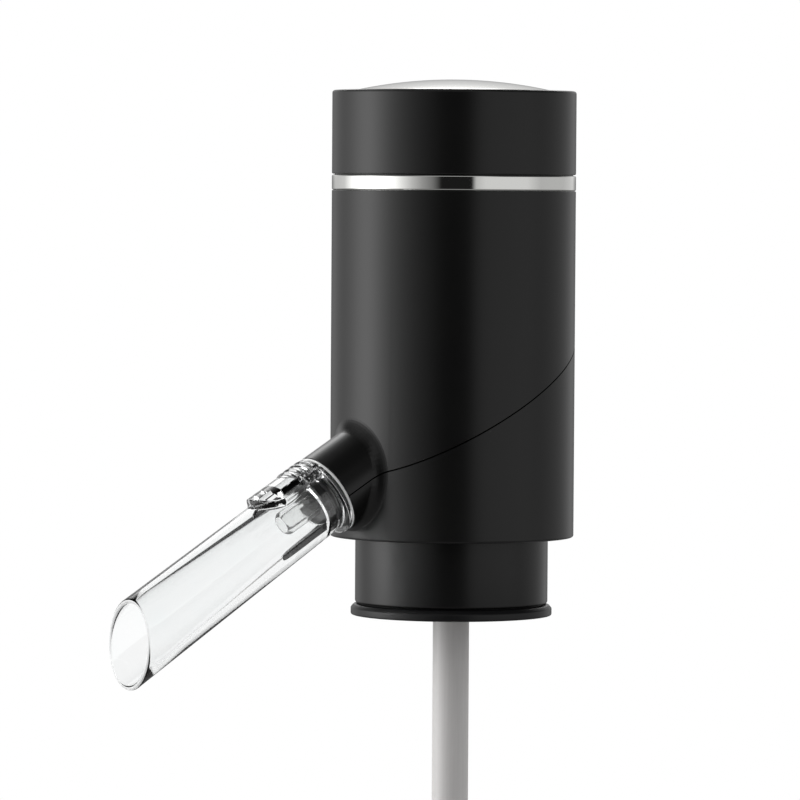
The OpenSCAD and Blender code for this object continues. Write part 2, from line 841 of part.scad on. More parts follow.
module motor_end_bell() {
  fit_r = motor_r - can_wall - seat_clear;
  color("#28292b") difference() {
    union() {
      translate([0, 0, z_motor_top - bell_t]) cylinder(r = fit_r, h = bell_t);
      translate([0, 0, z_motor_top]) cylinder(r = nose_r, h = bell_nose);
    }
    translate([0, 0, z_motor_top - bell_t - 1])
      cylinder(r = shaft_r + run_clear, h = bell_t + 1 + bell_nose - bell_wall);
    for (s = [-1, 1]) translate([s * terminal_x, 0, z_motor_top - bell_t / 2])
      cube([terminal_t + 2 * slot_room, terminal_w + 2 * slot_room, bell_t + 2], center = true);
  }
}

module motor_terminals() {
  top = z_board - pad_t - contact_gap;
  low = z_motor_top - bell_t;
  color("#c8954a") for (s = [-1, 1]) translate([s * terminal_x, -terminal_w / 2, 0]) {
    translate([-terminal_t / 2, 0, low]) cube([terminal_t, terminal_w, top - low]);
    translate([-terminal_foot / 2, 0, top - terminal_foot_t])
      cube([terminal_foot, terminal_w, terminal_foot_t]);
  }
}

module rotor() {
  stack_low = z_motor + stack_lift;
  stack_h = motor_h - stack_short;
  shaft_low = z_crank + crank_floor + contact_gap;
  shaft_top = z_motor_top + shaft_over;
  color("#8d9197") union() {
    translate([0, 0, shaft_low]) cylinder(r = shaft_r, h = shaft_top - shaft_low);
    difference() {
      translate([0, 0, stack_low]) cylinder(r = rotor_r, h = stack_h);
      for (a = screw_angles) rotate([0, 0, a - 30]) translate([stack_core, -stack_slot / 2, stack_low - 1])
        cube([rotor_r, stack_slot, stack_h + 2]);
    }
    translate([0, 0, stack_low + stack_h - root]) cylinder(r = commutator_r, h = commutator_h);
  }
}

// Frame of the slanted crank pin, with the nodding centre as its origin
module pin_frame() {
  translate([0, 0, z_nod]) rotate([0, wobble_tilt, 0]) children();
}

module crank() {
  color("#d8d6cf") difference() {
    union() {
      translate([0, 0, z_crank]) cylinder(r = crank_r, h = crank_t);
      pin_frame() translate([0, 0, pin_start]) cylinder(r = pin_r, h = z_crank - z_nod);
    }
    translate([0, 0, z_crank + crank_floor]) cylinder(r = shaft_r + crank_grip, h = crank_t);
  }
}

module wobble_plate() {
  color("#e4e2da") pin_frame() difference() {
    union() {
      translate([0, 0, -arm_t / 2]) cylinder(r = hub_r, h = hub_top + arm_t / 2);
      for (a = screw_angles) rotate([0, 0, a]) translate([0, 0, -arm_t / 2]) {
        translate([0, -arm_w / 2, 0]) cube([cup_ring_r, arm_w, arm_t]);
        translate([cup_ring_r, 0, 0]) cylinder(r = arm_end_r, h = arm_t);
      }
    }
    translate([0, 0, pin_start - pin_room]) cylinder(r = pin_r + run_clear, h = hub_top);
    for (a = screw_angles) rotate([0, 0, a]) translate([cup_ring_r, 0, -arm_t])
      cylinder(r = arm_hole_r, h = 2 * arm_t);
  }
}

module diaphragm() {
  bead_low = z_nod + arm_t / 2 + (cup_ring_r + arm_end_r) * sin(wobble_tilt) + contact_gap;
  color("#5b5d60") difference() {
    union() {
      translate([0, 0, z_flex]) cylinder(r = pump_r, h = flex_t);
      at_screws(cup_ring_r) {
        translate([0, 0, z_flex]) cylinder(r1 = cup_d / 2, r2 = cup_d / 2 - cup_taper, h = flex_t + cup_h);
        translate([0, 0, z_flex + cup_h])
          cylinder(r = cup_stem_r, h = bead_low - z_flex - cup_h + cup_bead_h / 2);
        translate([0, 0, bead_low]) cylinder(r1 = cup_bead_r, r2 = cup_stem_r, h = cup_bead_h);
      }
    }
    at_screws(cup_ring_r) translate([0, 0, z_flex])
      cylinder(r1 = cup_d / 2 - cup_wall, r2 = cup_d / 2 - cup_wall - cup_taper, h = cup_h);
  }
}

module pump_housing() {
  color("#e4e2da") difference() {
    translate([0, 0, z_housing]) cylinder(r = pump_r, h = z_motor - z_housing);
    translate([0, 0, z_housing - 1])
      cylinder(r = pump_r - housing_wall, h = z_motor - plate_t - z_housing + 1);
    translate([0, 0, z_motor - plate_t - 1]) cylinder(r = nose_r + 2 * seat_clear, h = plate_t + 2);
    for (a = screw_angles) translate([0, 0, (z_nod + z_crank) / 2]) rotate([0, 90, a - 60])
      cylinder(r = vent_r, h = pump_r + 1);
  }
}

module valve_plate() {
  color("#d8d6cf") difference() {
    translate([0, 0, z_valve]) cylinder(r = pump_r, h = valve_t);
    translate([0, 0, z_valve - 1]) cylinder(r = valve_stem_r + seat_clear, h = valve_t + 2);
    at_screws(outlet_ring_r) translate([0, 0, z_valve - 1]) cylinder(r = outlet_hole_r, h = valve_t + 2);
    at_screws(cup_ring_r + inlet_shift) translate([0, 0, z_valve - 1])
      cylinder(r = inlet_hole_r, h = valve_t + 2);
  }
}

module outlet_valve() {
  color("#5b5d60") union() {
    translate([0, 0, z_valve - valve_flap_t - seat_clear]) cylinder(r = valve_flap_r, h = valve_flap_t);
    translate([0, 0, z_valve - valve_flap_t])
      cylinder(r = valve_stem_r, h = valve_t + valve_flap_t - contact_gap);
  }
}

module pump_cover() {
  color("#d8d6cf") difference() {
    union() {
      translate([0, 0, z_pump]) cylinder(r = pump_r, h = cover_t);
      translate([air_x, air_x, z_pump - ledge_t - barb_len])
        cylinder(r = barb_r, h = ledge_t + barb_len + 1);
    }
    translate([0, 0, z_pump + cover_floor]) cylinder(r = pump_r - cover_wall, h = cover_t);
    translate([air_x, air_x, z_pump - ledge_t - barb_len - 1]) cylinder(r = barb_bore_r, h = far);
  }
}

module air_tube() {
  top = z_pump - ledge_t - part_gap;
  color("#c9c9c4") translate([air_x, air_x, air_low]) difference() {
    cylinder(r = air_tube_d / 2, h = top - air_low);
    translate([0, 0, -1]) cylinder(r = air_bore_d / 2, h = top - air_low + 2);
  }
}

module wine_manifold() {
  channel_r = channel_d / 2;
  groove_r = spout_bore_r - oring_wire - 3 * oring_gap;
  groove_w = oring_wire + 2 * oring_room;
  color("#232325") difference() {
    union() {
      translate([0, 0, stem_low]) cylinder(r = manifold_r, h = z_axis - stem_low);
      translate([0, 0, z_axis]) sphere(r = manifold_r);
      spout_frame() cylinder(r = manifold_r, h = spigot_start + 1);
      spout_frame() translate([0, 0, spigot_start]) cylinder(r = spigot_r, h = spigot_end - spigot_start);
    }
    translate([0, 0, stem_low - 1]) cylinder(r = tube_r + seat_clear, h = tube_socket + 1);
    translate([0, 0, stem_low]) cylinder(r = channel_r, h = z_axis - stem_low);
    translate([0, 0, z_axis]) sphere(r = channel_r);
    spout_frame() {
      cylinder(r = channel_r, h = boss_reach);
      translate([0, 0, nozzle_start]) cylinder(r = nozzle_r + seat_clear, h = far);
      ring(groove_r, spigot_r + 1, oring_at - groove_w / 2, oring_at + groove_w / 2);
      translate([-spigot_r - 1, -notch_w / 2, spigot_end - notch_depth])
        cube([2 * spigot_r + 2, notch_w, notch_depth + 1]);
    }
  }
}

module aerator_nozzle() {
  bore_r = channel_d / 2;
  tip = spigot_end + nozzle_out;
  color("#d9d9d4") spout_frame() rotate_extrude() polygon(concat(
    [[bore_r, tip], [bore_r, nozzle_start], [nozzle_r, nozzle_start]],
    arc(nozzle_r - nozzle_edge, tip - nozzle_edge, nozzle_edge, 0, 90, 6)
  ));
}

module spout_oring() {
  wire_r = oring_wire / 2;
  color("#3b3c3f") spout_frame() translate([0, 0, oring_at]) rotate_extrude()
    translate([spout_bore_r - oring_gap - wire_r, 0]) circle(r = wire_r, $fn = 32);
}

// Slanted frame of the spout's tube, which droops a little from the boss's axis
module tube_frame() {
  spout_frame() translate([0, 0, tube_pivot]) rotate([spout_droop, 0, 0]) children();
}

module spout() {
  root_r = spout_root_d / 2;
  end_r = root_r + flare * spout_long;
  color([0.86, 0.9, 0.92, 0.45]) difference() {
    union() {
      spout_frame() translate([0, 0, spout_start]) cylinder(r = boss_r, h = flange_t);
      tube_frame() translate([0, 0, -flange_t / 2]) cylinder(r1 = root_r, r2 = end_r, h = spout_long);
      spout_frame() thumb_tab();
    }
    spout_frame() cylinder(r = spout_bore_r, h = socket_end);
    tube_frame() cylinder(r1 = root_r - spout_wall, r2 = end_r - spout_wall, h = spout_long);
    translate([-far / 2, -mouth_y - far, -far / 2]) cube([far, far, far]);
  }
}

// Raised tab along the top of the spout, with a round end and grip ridges
module thumb_tab() {
  half = tab_w / 2;
  low = spout_start + flange_t / 2;
  intersection() {
    union() {
      translate([0, 0, low]) cylinder(r = tab_r, h = tab_len);
      for (i = [1:ridge_count]) translate([0, 0, tube_pivot + i * ridge_step])
        cylinder(r = tab_r + ridge_h, h = ridge_step / 2);
    }
    union() {
      translate([-half, tab_base, low]) cube([tab_w, boss_r, tab_end - half - low]);
      translate([0, tab_base, tab_end - half]) rotate([-90, 0, 0]) cylinder(r = half, h = boss_r);
    }
  }
}

module neck_collar() {
  color("#1b1b1d") difference() {
    union() {
      ring(collar_in, collar_r, z_collar, z_body);
      translate([0, 0, web_t]) cylinder(r = collar_r, h = collar_plate_t);
      translate([air_x, air_x, z_body - 1]) cylinder(r = barb_r, h = floor_t + barb_len + 1);
    }
    translate([0, 0, web_t - 1]) cylinder(r = stem_hole_r, h = collar_plate_t + 2);
    translate([air_x, air_x, web_t - 1]) cylinder(r = barb_bore_r, h = far);
    at_screws(collar_screw_ring) {
      translate([0, 0, web_t - 1]) cylinder(r = screw_head_r + hole_room, h = screw_head_h + 1);
      translate([0, 0, web_t]) cylinder(r = screw_r + hole_room, h = collar_plate_t + 1);
    }
  }
}

module bottle_seal() {
  lip_top = z_lip + lip_band;
  groove_r = collar_r - lip_groove_in;
  rib_gap = (-z_collar - rib_from) / rib_count;
  color("#2b2b2d") rotate_extrude() polygon(concat(
    [[web_hole_r, web_t], [web_hole_r, 0], [sleeve_r, 0]],
    [for (i = [0:rib_count - 1]) each arc(sleeve_r, -rib_from - i * rib_gap, seal_rib, 90, 270, 6)],
    [[sleeve_r, z_lip + sleeve_chamfer], [sleeve_r + sleeve_chamfer, z_lip]],
    arc(lip_r - lip_low_r, z_lip + lip_low_r, lip_low_r, -90, 0, 6),
    arc(lip_r - lip_top_r, lip_top - lip_top_r, lip_top_r, 0, 90, 5),
    [[groove_r, lip_top], [groove_r, z_collar], [seal_out, z_collar], [seal_out, web_t]]
  ));
}

module suction_tube() {
  color("#b9b8b6") ring(tube_in, tube_r, z_tube_end, z_tube_top);
}

module tube_guide() {
  color("#8e8f91") difference() {
    translate([0, 0, z_tube_end - guide_lip]) cylinder(r = guide_r, h = guide_h);
    translate([0, 0, z_tube_end - guide_lip - 1]) cylinder(r = inner_r + run_clear, h = guide_h + 2);
    translate([0, 0, z_tube_end]) cylinder(r = tube_r + seat_clear, h = guide_h);
  }
}

module inner_tube() {
  color("#c6c5c2") union() {
    ring(inner_r - inner_tube_wall, inner_r, z_inner_end, z_inner_top);
    ring(inner_r - inner_tube_wall / 2, slider_r, z_inner_top - slider_len, z_inner_top);
  }
}

module intake_foot() {
  low = z_inner_end - foot_over;
  color("#8e8f91") difference() {
    translate([0, 0, low]) cylinder(r = foot_r, h = foot_h);
    translate([0, 0, low - 1]) cylinder(r = inner_r - inner_tube_wall, h = foot_h + 2);
    translate([0, 0, z_inner_end]) cylinder(r = inner_r + seat_clear, h = foot_h);
    for (a = [0, 90]) rotate([0, 0, a]) translate([-foot_r - 1, -foot_slot_w / 2, low - 1])
      cube([2 * foot_r + 2, foot_slot_w, foot_slot_h + 1]);
  }
}

upper_shell();
lower_shell();
trim_ring();
top_cap();
button_dome();
button_spring();
switch_body();
switch_plunger();
contact_board();
board_pads();
board_screws();
battery_holder();
cell(0);  // cell_1
cell(1);  // cell_2
cell(2);  // cell_3
cell(3);  // cell_4
cell(4);  // cell_5
cell(5);  // cell_6
contact_strip(0);  // contact_strip_1
contact_strip(1);  // contact_strip_2
contact_strip(2);  // contact_strip_3
frame_screws();
collar_screws();
motor_can();
motor_magnets();
motor_end_bell();
motor_terminals();
rotor();
crank();
wobble_plate();
diaphragm();
pump_housing();
valve_plate();
outlet_valve();
pump_cover();
air_tube();
wine_manifold();
aerator_nozzle();
spout_oring();
spout();
neck_collar();
bottle_seal();
suction_tube();
tube_guide();
inner_tube();
intake_foot();
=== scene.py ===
# %% [markdown]
# # An electric wine dispenser
# A press on the domed button runs a small air pump, and the pressure drives the drink up the grey tube and
# out of the clear spout. The CAD model holds every piece in its real place, so this lesson only dresses it:
# it sets the camera, mixes a finish for each real material, and remakes the pieces whose edges the eye can
# read.

import json
import math

import bmesh
import bpy
from mathutils import Matrix, Vector


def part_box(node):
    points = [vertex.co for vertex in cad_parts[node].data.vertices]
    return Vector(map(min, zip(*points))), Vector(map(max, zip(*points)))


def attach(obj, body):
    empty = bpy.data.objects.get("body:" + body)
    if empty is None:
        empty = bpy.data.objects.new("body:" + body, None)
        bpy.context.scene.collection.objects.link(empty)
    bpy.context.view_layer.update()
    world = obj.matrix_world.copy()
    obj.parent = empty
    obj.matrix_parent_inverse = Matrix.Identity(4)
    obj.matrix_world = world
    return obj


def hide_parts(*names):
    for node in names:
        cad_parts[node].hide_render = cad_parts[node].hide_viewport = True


MM = 0.001
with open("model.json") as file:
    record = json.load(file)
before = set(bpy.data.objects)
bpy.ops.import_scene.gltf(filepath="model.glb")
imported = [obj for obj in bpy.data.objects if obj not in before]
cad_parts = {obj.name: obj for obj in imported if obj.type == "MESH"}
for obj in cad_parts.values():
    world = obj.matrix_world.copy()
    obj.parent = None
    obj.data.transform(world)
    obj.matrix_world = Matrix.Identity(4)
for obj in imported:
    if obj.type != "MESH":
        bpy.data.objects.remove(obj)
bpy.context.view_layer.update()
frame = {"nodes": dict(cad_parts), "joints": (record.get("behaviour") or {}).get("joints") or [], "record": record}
nodes = frame["nodes"]

# %% [markdown]
# ## The camera
# The photograph was taken with a long lens at the height of the trim ring, 55 degrees round from the spout.
# A long lens keeps the cap and the collar almost the same width. A camera could be aimed by a constraint,
# but a lens, a place and three small turns are easier to match: two of them put the body's axis and the
# horizon on the column and the row that they have in an image of 800 by 800, and the third tilts the picture
# by a third of a degree.

# %% Camera
IMAGE = 800
FOCAL_PIXELS = 5500
AXIS_COLUMN = 452.5
HORIZON_ROW = 182
AZIMUTH = math.radians(55)
DISTANCE = 1.240
HEIGHT = 0.0843
ROLL = math.radians(0.36)

lens = bpy.data.cameras.new("photo_camera")
lens.sensor_width = 36
lens.lens = lens.sensor_width * FOCAL_PIXELS / IMAGE
lens.clip_start = 0.05
lens.clip_end = 30
camera = bpy.data.objects.new("photo_camera", lens)
bpy.context.scene.collection.objects.link(camera)
bpy.context.scene.camera = camera

yaw = math.atan((AXIS_COLUMN - IMAGE / 2) / FOCAL_PIXELS)
pitch = math.atan((IMAGE / 2 - HORIZON_ROW) / FOCAL_PIXELS)
stand = Vector((DISTANCE * math.sin(AZIMUTH), -DISTANCE * math.cos(AZIMUTH), HEIGHT))
camera.matrix_world = (
    Matrix.Translation(stand)
    @ Matrix.Rotation(AZIMUTH + yaw, 4, "Z")
    @ Matrix.Rotation(math.pi / 2 - pitch, 4, "X")
    @ Matrix.Rotation(ROLL, 4, "Z")
)
bpy.context.scene.view_settings.view_transform = "Standard"
print("camera at", [round(c, 3) for c in stand], "lens", round(lens.lens, 1), "mm")

# %% [markdown]
# ## Helpers for shaders
# Colours are written as the hex values that a screen shows, and Cycles works in linear light, so one
# function turns the first into the second. Another adds a node, sets its properties, and fills its sockets
# with a number or with a link. Two more open and close a finish. No real surface has one flat colour, so the
# last lets a noise run between two tones that are close together, and each finish starts from that.

# %% Helpers for colours and nodes
# A Mix node in colour mode has its factor, its two colours and its result at these sockets
FACTOR, FIRST, SECOND, MIXED = 0, 6, 7, 2
finishes = {}


def linear(hex_colour):
    """An sRGB hex value as linear RGBA."""
    channels = [int(hex_colour[i : i + 2], 16) / 255 for i in (1, 3, 5)]
    return [c / 12.92 if c <= 0.04045 else ((c + 0.055) / 1.055) ** 2.4 for c in channels] + [1.0]


def scale_of(size):
    """The scale of a noise whose pattern is about size millimetres wide."""
    return 1 / (size * MM)


def add(tree, kind, inputs=None, **settings):
    """A new node with its properties set and its sockets filled by values or links."""
    node = tree.nodes.new(kind)
    for key, value in settings.items():
        setattr(node, key, value)
    for key, value in (inputs or {}).items():
        if isinstance(value, bpy.types.NodeSocket):
            tree.links.new(value, node.inputs[key])
        else:
            node.inputs[key].default_value = value
    return node


def start_finish(name):
    """An empty material, its node tree and the socket of Object coordinates."""
    material = bpy.data.materials.new(name)
    material.use_nodes = True
    tree = material.node_tree
    tree.nodes.clear()
    return material, tree, add(tree, "ShaderNodeTexCoord").outputs["Object"]


def end_finish(slot_name, material, shader):
    """Links a shader to the material's output and keeps the material under its slot's name."""
    add(material.node_tree, "ShaderNodeOutputMaterial", {"Surface": shader.outputs[0]})
    finishes[slot_name] = material
    print("finish:", slot_name, "is", material.name)


def speckle(tree, place, size, detail, dark, light):
    """A noise about size millimetres wide, and a colour that runs with it between two tones."""
    noise = add(tree, "ShaderNodeTexNoise", {"Vector": place, "Scale": scale_of(size), "Detail": detail})
    tone = add(tree, "ShaderNodeMix", {
        FACTOR: noise.outputs[0], FIRST: linear(dark), SECOND: linear(light),
    }, data_type="RGBA")
    return noise.outputs[0], tone.outputs[MIXED]


print("a screen's middle grey in linear light:", round(linear("#808080")[0], 3))

# %% [markdown]
# ## Matt black ABS
# The shells, the cap and the collar are injection moulded in black ABS against a finely eroded steel tool.
# The tool leaves a grain of about 0.1 mm, which breaks the reflections into soft bands. That is too fine
# for the image, so the bump is drawn at 0.4 mm, and the rest of the grain is in the roughness. Slow clouds
# in the roughness stand for the handling that leaves some places a little more polished.

# %% Finish: ABS, moulded, matt black
material, tree, place = start_finish("abs_moulded_matt_black")
grain = add(tree, "ShaderNodeTexNoise", {"Vector": place, "Scale": scale_of(0.4), "Detail": 2.0})
clouds, tone = speckle(tree, place, 16, 3.0, "#0a0a0b", "#0e0e0d")
rough = add(tree, "ShaderNodeMapRange", {"Value": clouds, "To Min": 0.26, "To Max": 0.31})
bump = add(tree, "ShaderNodeBump", {"Height": grain.outputs[0], "Strength": 0.05, "Distance": 0.02 * MM})
end_finish("black_abs", material, add(tree, "ShaderNodeBsdfPrincipled", {
    "Base Color": tone, "Roughness": rough.outputs[0], "IOR": 1.5, "Specular IOR Level": 0.45,
    "Normal": bump.outputs[0],
}))

# %% [markdown]
# ## Bright chrome on ABS
# The trim ring and the button are ABS that was plated with copper, nickel and a thin coat of chromium.
# Plating is as smooth as the tool under it, so it mirrors the studio. Wiping leaves hairlines that run in
# all directions and only show where a bright edge is mirrored. They are too fine for the image, so they are
# drawn as flecks of 0.5 mm in the roughness.

# %% Finish: chromium, plated
material, tree, place = start_finish("chromium_plated_bright")
wave, tone = speckle(tree, place, 9, 1.0, "#f4f4f1", "#fcfcf9")
hair = add(tree, "ShaderNodeTexNoise", {"Vector": place, "Scale": scale_of(0.5), "Detail": 4.0})
rough = add(tree, "ShaderNodeMapRange", {"Value": hair.outputs[0], "To Min": 0.045, "To Max": 0.085})
bump = add(tree, "ShaderNodeBump", {"Height": wave, "Strength": 0.04, "Distance": 0.05 * MM})
end_finish("chromed_abs", material, add(tree, "ShaderNodeBsdfPrincipled", {
    "Base Color": tone, "Metallic": 1.0, "Roughness": rough.outputs[0], "Normal": bump.outputs[0],
}))

# %% [markdown]
# ## Clear acrylic
# The spout is moulded in clear acrylic. Its walls bend the light at an index of 1.49, so the background
# shows through the middle and the edges turn dark. The melt leaves very slow waves on the surface. The edge
# of the flange and the lip of the mouth are trimmed and ground after moulding, and their finish is made
# nearly opaque and white: a painted highlight for the bright reflection along those edges. The grit of the
# grinding is drawn at 0.5 mm, several times its real size, so that it shows.

# %% Finishes: acrylic, moulded clear and ground
ACRYLIC = 1.49
material, tree, place = start_finish("acrylic_moulded_clear")
flow, tone = speckle(tree, place, 7, 1.0, "#fbfdfd", "#fefefe")
bump = add(tree, "ShaderNodeBump", {"Height": flow, "Strength": 0.01, "Distance": 0.1 * MM})
end_finish("clear_plastic", material, add(tree, "ShaderNodeBsdfPrincipled", {
    "Base Color": tone, "Roughness": 0.0, "IOR": ACRYLIC, "Transmission Weight": 1.0,
    "Normal": bump.outputs[0],
}))

# The ground edges get a nearly opaque white finish: a painted highlight along the flange rim and the lip.
material, tree, place = start_finish("acrylic_ground_and_painted_highlight")
grit, tone = speckle(tree, place, 0.5, 2.0, "#f2f4f4", "#fdfdfd")
rough = add(tree, "ShaderNodeMapRange", {"Value": grit, "To Min": 0.35, "To Max": 0.55})
end_finish("ground_and_painted_highlight", material, add(tree, "ShaderNodeBsdfPrincipled", {
    "Base Color": tone, "Roughness": rough.outputs[0], "IOR": ACRYLIC, "Transmission Weight": 0.3,
}))

# %% [markdown]
# ## Rubber, tubes and fittings
# The lip and the seals are moulded silicone, which is darker in its pores and has a soft sheen. The pores are
# drawn at 0.6 mm, coarser than they are, so that they show. The tubes are extruded, so faint draw lines run
# along them: the same noise, stretched along the tube by a Mapping node. The nozzle is moulded in natural
# polypropylene, which lets light into its wall and looks milky. Its index is set below the real 1.49, which
# keeps its edges as pale as they look inside the spout.

# %% Finishes: silicone, extruded tube, fittings, polypropylene
material, tree, place = start_finish("silicone_moulded_black")
pores, tone = speckle(tree, place, 0.6, 3.0, "#0e0e0f", "#141415")
rough = add(tree, "ShaderNodeMapRange", {"Value": pores, "To Min": 0.28, "To Max": 0.4})
bump = add(tree, "ShaderNodeBump", {"Height": pores, "Strength": 0.08, "Distance": 0.03 * MM})
end_finish("silicone", material, add(tree, "ShaderNodeBsdfPrincipled", {
    "Base Color": tone, "Roughness": rough.outputs[0], "IOR": 1.41, "Normal": bump.outputs[0],
}))

STRETCH = (1, 1, 0.02)
for slot_name, title, dark, light, line_width in (
    ("grey_tube", "polyethylene_extruded_grey", "#bcbab9", "#c9c7c6", 0.35),
    ("grey_fitting", "polyethylene_moulded_grey", "#8d8d8e", "#9a9a9b", 1.2),
):
    material, tree, place = start_finish(title)
    along = add(tree, "ShaderNodeMapping", {"Vector": place, "Scale": STRETCH})
    lines, tone = speckle(tree, along.outputs[0], line_width, 3.0, dark, light)
    bump = add(tree, "ShaderNodeBump", {"Height": lines, "Strength": 0.1, "Distance": 0.02 * MM})
    end_finish(slot_name, material, add(tree, "ShaderNodeBsdfPrincipled", {
        "Base Color": tone, "Roughness": 0.42, "IOR": 1.51, "Normal": bump.outputs[0],
        "Subsurface Weight": 0.2, "Subsurface Radius": (1 * MM, 1 * MM, 1 * MM), "Subsurface Scale": 1.0,
    }))

material, tree, place = start_finish("polypropylene_moulded_natural")
haze, tone = speckle(tree, place, 2, 2.0, "#f8f9f8", "#ffffff")
rough = add(tree, "ShaderNodeMapRange", {"Value": haze, "To Min": 0.12, "To Max": 0.2})
end_finish("pale_nozzle", material, add(tree, "ShaderNodeBsdfPrincipled", {
    "Base Color": tone, "Roughness": rough.outputs[0], "IOR": 1.2, "Transmission Weight": 0.95,
}))

# %% [markdown]
# ## Finishes of the works inside
# The holder, the pump and the motor are hidden until the cap is off, and they still get their real
# materials: glass-filled nylon, acetal, printed foil on the cells, drawn steel, sintered ferrite, copper
# and the green lacquer of the board. A table gives each its two tones, whether it is a metal, its range of
# roughness, the size of its flecks in millimetres and its index, because all of them are built by the same
# few nodes. A metal keeps the default index.

# %% Finishes: works inside
INNER = (
    ("dark_nylon", "nylon_glass_filled_dark", "#232427", "#303135", 0.0, 0.42, 0.52, 0.8, 1.53),
    ("white_acetal", "acetal_moulded_white", "#dedddb", "#e9e8e5", 0.0, 0.26, 0.36, 3.0, 1.48),
    ("cell_jacket", "foil_sleeve_shrunk_blue", "#24425f", "#2c4d6d", 0.35, 0.24, 0.36, 4.0, 1.5),
    ("spring_steel", "spring_steel_drawn", "#a5a8ab", "#c2c4c6", 1.0, 0.2, 0.34, 0.5, None),
    ("screw_steel", "steel_zinc_plated", "#a9adaf", "#c6c8c6", 1.0, 0.24, 0.42, 0.4, None),
    ("motor_steel", "steel_nickel_plated", "#b3b2ae", "#cac9c4", 1.0, 0.2, 0.32, 1.5, None),
    ("ferrite", "ferrite_sintered", "#2a2827", "#39373a", 0.0, 0.55, 0.75, 0.5, 1.6),
    ("copper", "copper_tinned_bright", "#b87a52", "#cf9468", 1.0, 0.2, 0.36, 0.8, None),
    ("board_green", "glass_epoxy_green_lacquer", "#1d4f38", "#2a6547", 0.0, 0.22, 0.34, 1.2, 1.52),
)
for slot_name, title, dark, light, metallic, smooth, dull, fleck_width, index in INNER:
    material, tree, place = start_finish(title)
    fleck, tone = speckle(tree, place, fleck_width, 3.0, dark, light)
    rough = add(tree, "ShaderNodeMapRange", {"Value": fleck, "To Min": smooth, "To Max": dull})
    bump = add(tree, "ShaderNodeBump", {"Height": fleck, "Strength": 0.1, "Distance": 0.02 * MM})
    shader = add(tree, "ShaderNodeBsdfPrincipled", {
        "Base Color": tone, "Metallic": metallic, "Roughness": rough.outputs[0], "Normal": bump.outputs[0],
    })
    if index:
        shader.inputs["IOR"].default_value = index
    end_finish(slot_name, material, shader)

# %% [markdown]
# ## Each node gets its finish
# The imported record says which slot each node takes. The materials that came with the CAD file are flat
# colours, so every slot on every node is filled again.

# %% Dress the CAD nodes
slot_of = {entry["node"]: entry["material_slot"] for entry in frame["record"]["subparts"]}


def dress(obj, material):
    """Fills an object's only material slot."""
    obj.data.materials.clear()
    obj.data.materials.append(material)


for node_name, obj in nodes.items():
    dress(obj, finishes[slot_of[node_name]])
print("dressed:", len(nodes), "nodes")

# %% [markdown]
# ## Turned pieces
# The ring, the button, the seal, the nozzle and the tubes are all round: one outline turned about one axis.
# On the real ones no edge is quite sharp, and the thin bright line along an edge is what makes it read as a
# moulded or plated piece. A Screw modifier could turn an outline too. One Geometry Nodes tree does it here,
# because it can be used again inside another tree: a grid has a column for each step of the turn and a row
# for each point of the outline, and Set Position wraps it round.

# %% Geometry Nodes tree: turn an outline
WELD = 0.001 * MM


def turning_tree():
    """A tree that turns the points of a profile object about Z."""
    tree = bpy.data.node_groups.new("turned_outline", "GeometryNodeTree")
    for name, kind in (("Profile", "Object"), ("Steps", "Int"), ("Finish", "Material")):
        tree.interface.new_socket(name, in_out="INPUT", socket_type="NodeSocket" + kind)
    tree.interface.new_socket("Geometry", in_out="OUTPUT", socket_type="NodeSocketGeometry")
    given = add(tree, "NodeGroupInput").outputs
    outline = add(tree, "GeometryNodeObjectInfo", {"Object": given["Profile"]}).outputs["Geometry"]
    size = add(tree, "GeometryNodeAttributeDomainSize", {"Geometry": outline}, component="MESH")
    rows = size.outputs["Point Count"]
    columns = add(tree, "FunctionNodeIntegerMath", {0: given["Steps"], 1: 1}, operation="ADD")
    grid = add(tree, "GeometryNodeMeshGrid", {"Vertices X": columns.outputs[0], "Vertices Y": rows})
    index = add(tree, "GeometryNodeInputIndex").outputs[0]
    row = add(tree, "FunctionNodeIntegerMath", {0: index, 1: rows}, operation="MODULO")
    column = add(tree, "FunctionNodeIntegerMath", {0: index, 1: rows}, operation="DIVIDE")
    share = add(tree, "ShaderNodeMath", {0: column.outputs[0], 1: given["Steps"]}, operation="DIVIDE")
    turn = add(tree, "ShaderNodeMath", {0: share.outputs[0], 1: 2 * math.pi}, operation="MULTIPLY")
    spot = add(tree, "GeometryNodeInputPosition").outputs[0]
    corner = add(tree, "GeometryNodeSampleIndex", {
        "Geometry": outline, "Value": spot, "Index": row.outputs[0],
    }, data_type="FLOAT_VECTOR")
    turned = add(tree, "ShaderNodeVectorRotate", {
        "Vector": corner.outputs[0], "Angle": turn.outputs[0],
    }, rotation_type="Z_AXIS")
    wrapped = add(tree, "GeometryNodeSetPosition", {
        "Geometry": grid.outputs[0], "Position": turned.outputs[0],
    })
    welded = add(tree, "GeometryNodeMergeByDistance", {"Geometry": wrapped.outputs[0], "Distance": WELD})
    real = add(tree, "GeometryNodeRealizeInstances", {"Geometry": welded.outputs[0]})
    done = add(tree, "GeometryNodeSetMaterial", {"Geometry": real.outputs[0], "Material": given["Finish"]})
    add(tree, "NodeGroupOutput", {0: done.outputs[0]})
    return tree


TURNING = turning_tree()
print("tree:", TURNING.name, "with", len(TURNING.nodes), "nodes")

# %% [markdown]
# ## From a tree to a plain mesh
# A modifier with the tree sits on an empty mesh for a moment. Its inputs are set by their identifiers, the
# evaluated result is copied as a plain mesh, and the holder goes away again. A tree that sets two materials
# can leave an empty slot in front of them, which is taken out.

# %% Run a tree


def drop_empty_slots(mesh):
    """Takes out the material slots that a tree leaves empty."""
    old = list(mesh.materials)
    kept = [material for material in old if material]
    if kept == old:
        return
    faces = [kept.index(old[polygon.material_index] or kept[0]) for polygon in mesh.polygons]
    mesh.materials.clear()
    for material in kept:
        mesh.materials.append(material)
    mesh.polygons.foreach_set("material_index", faces)


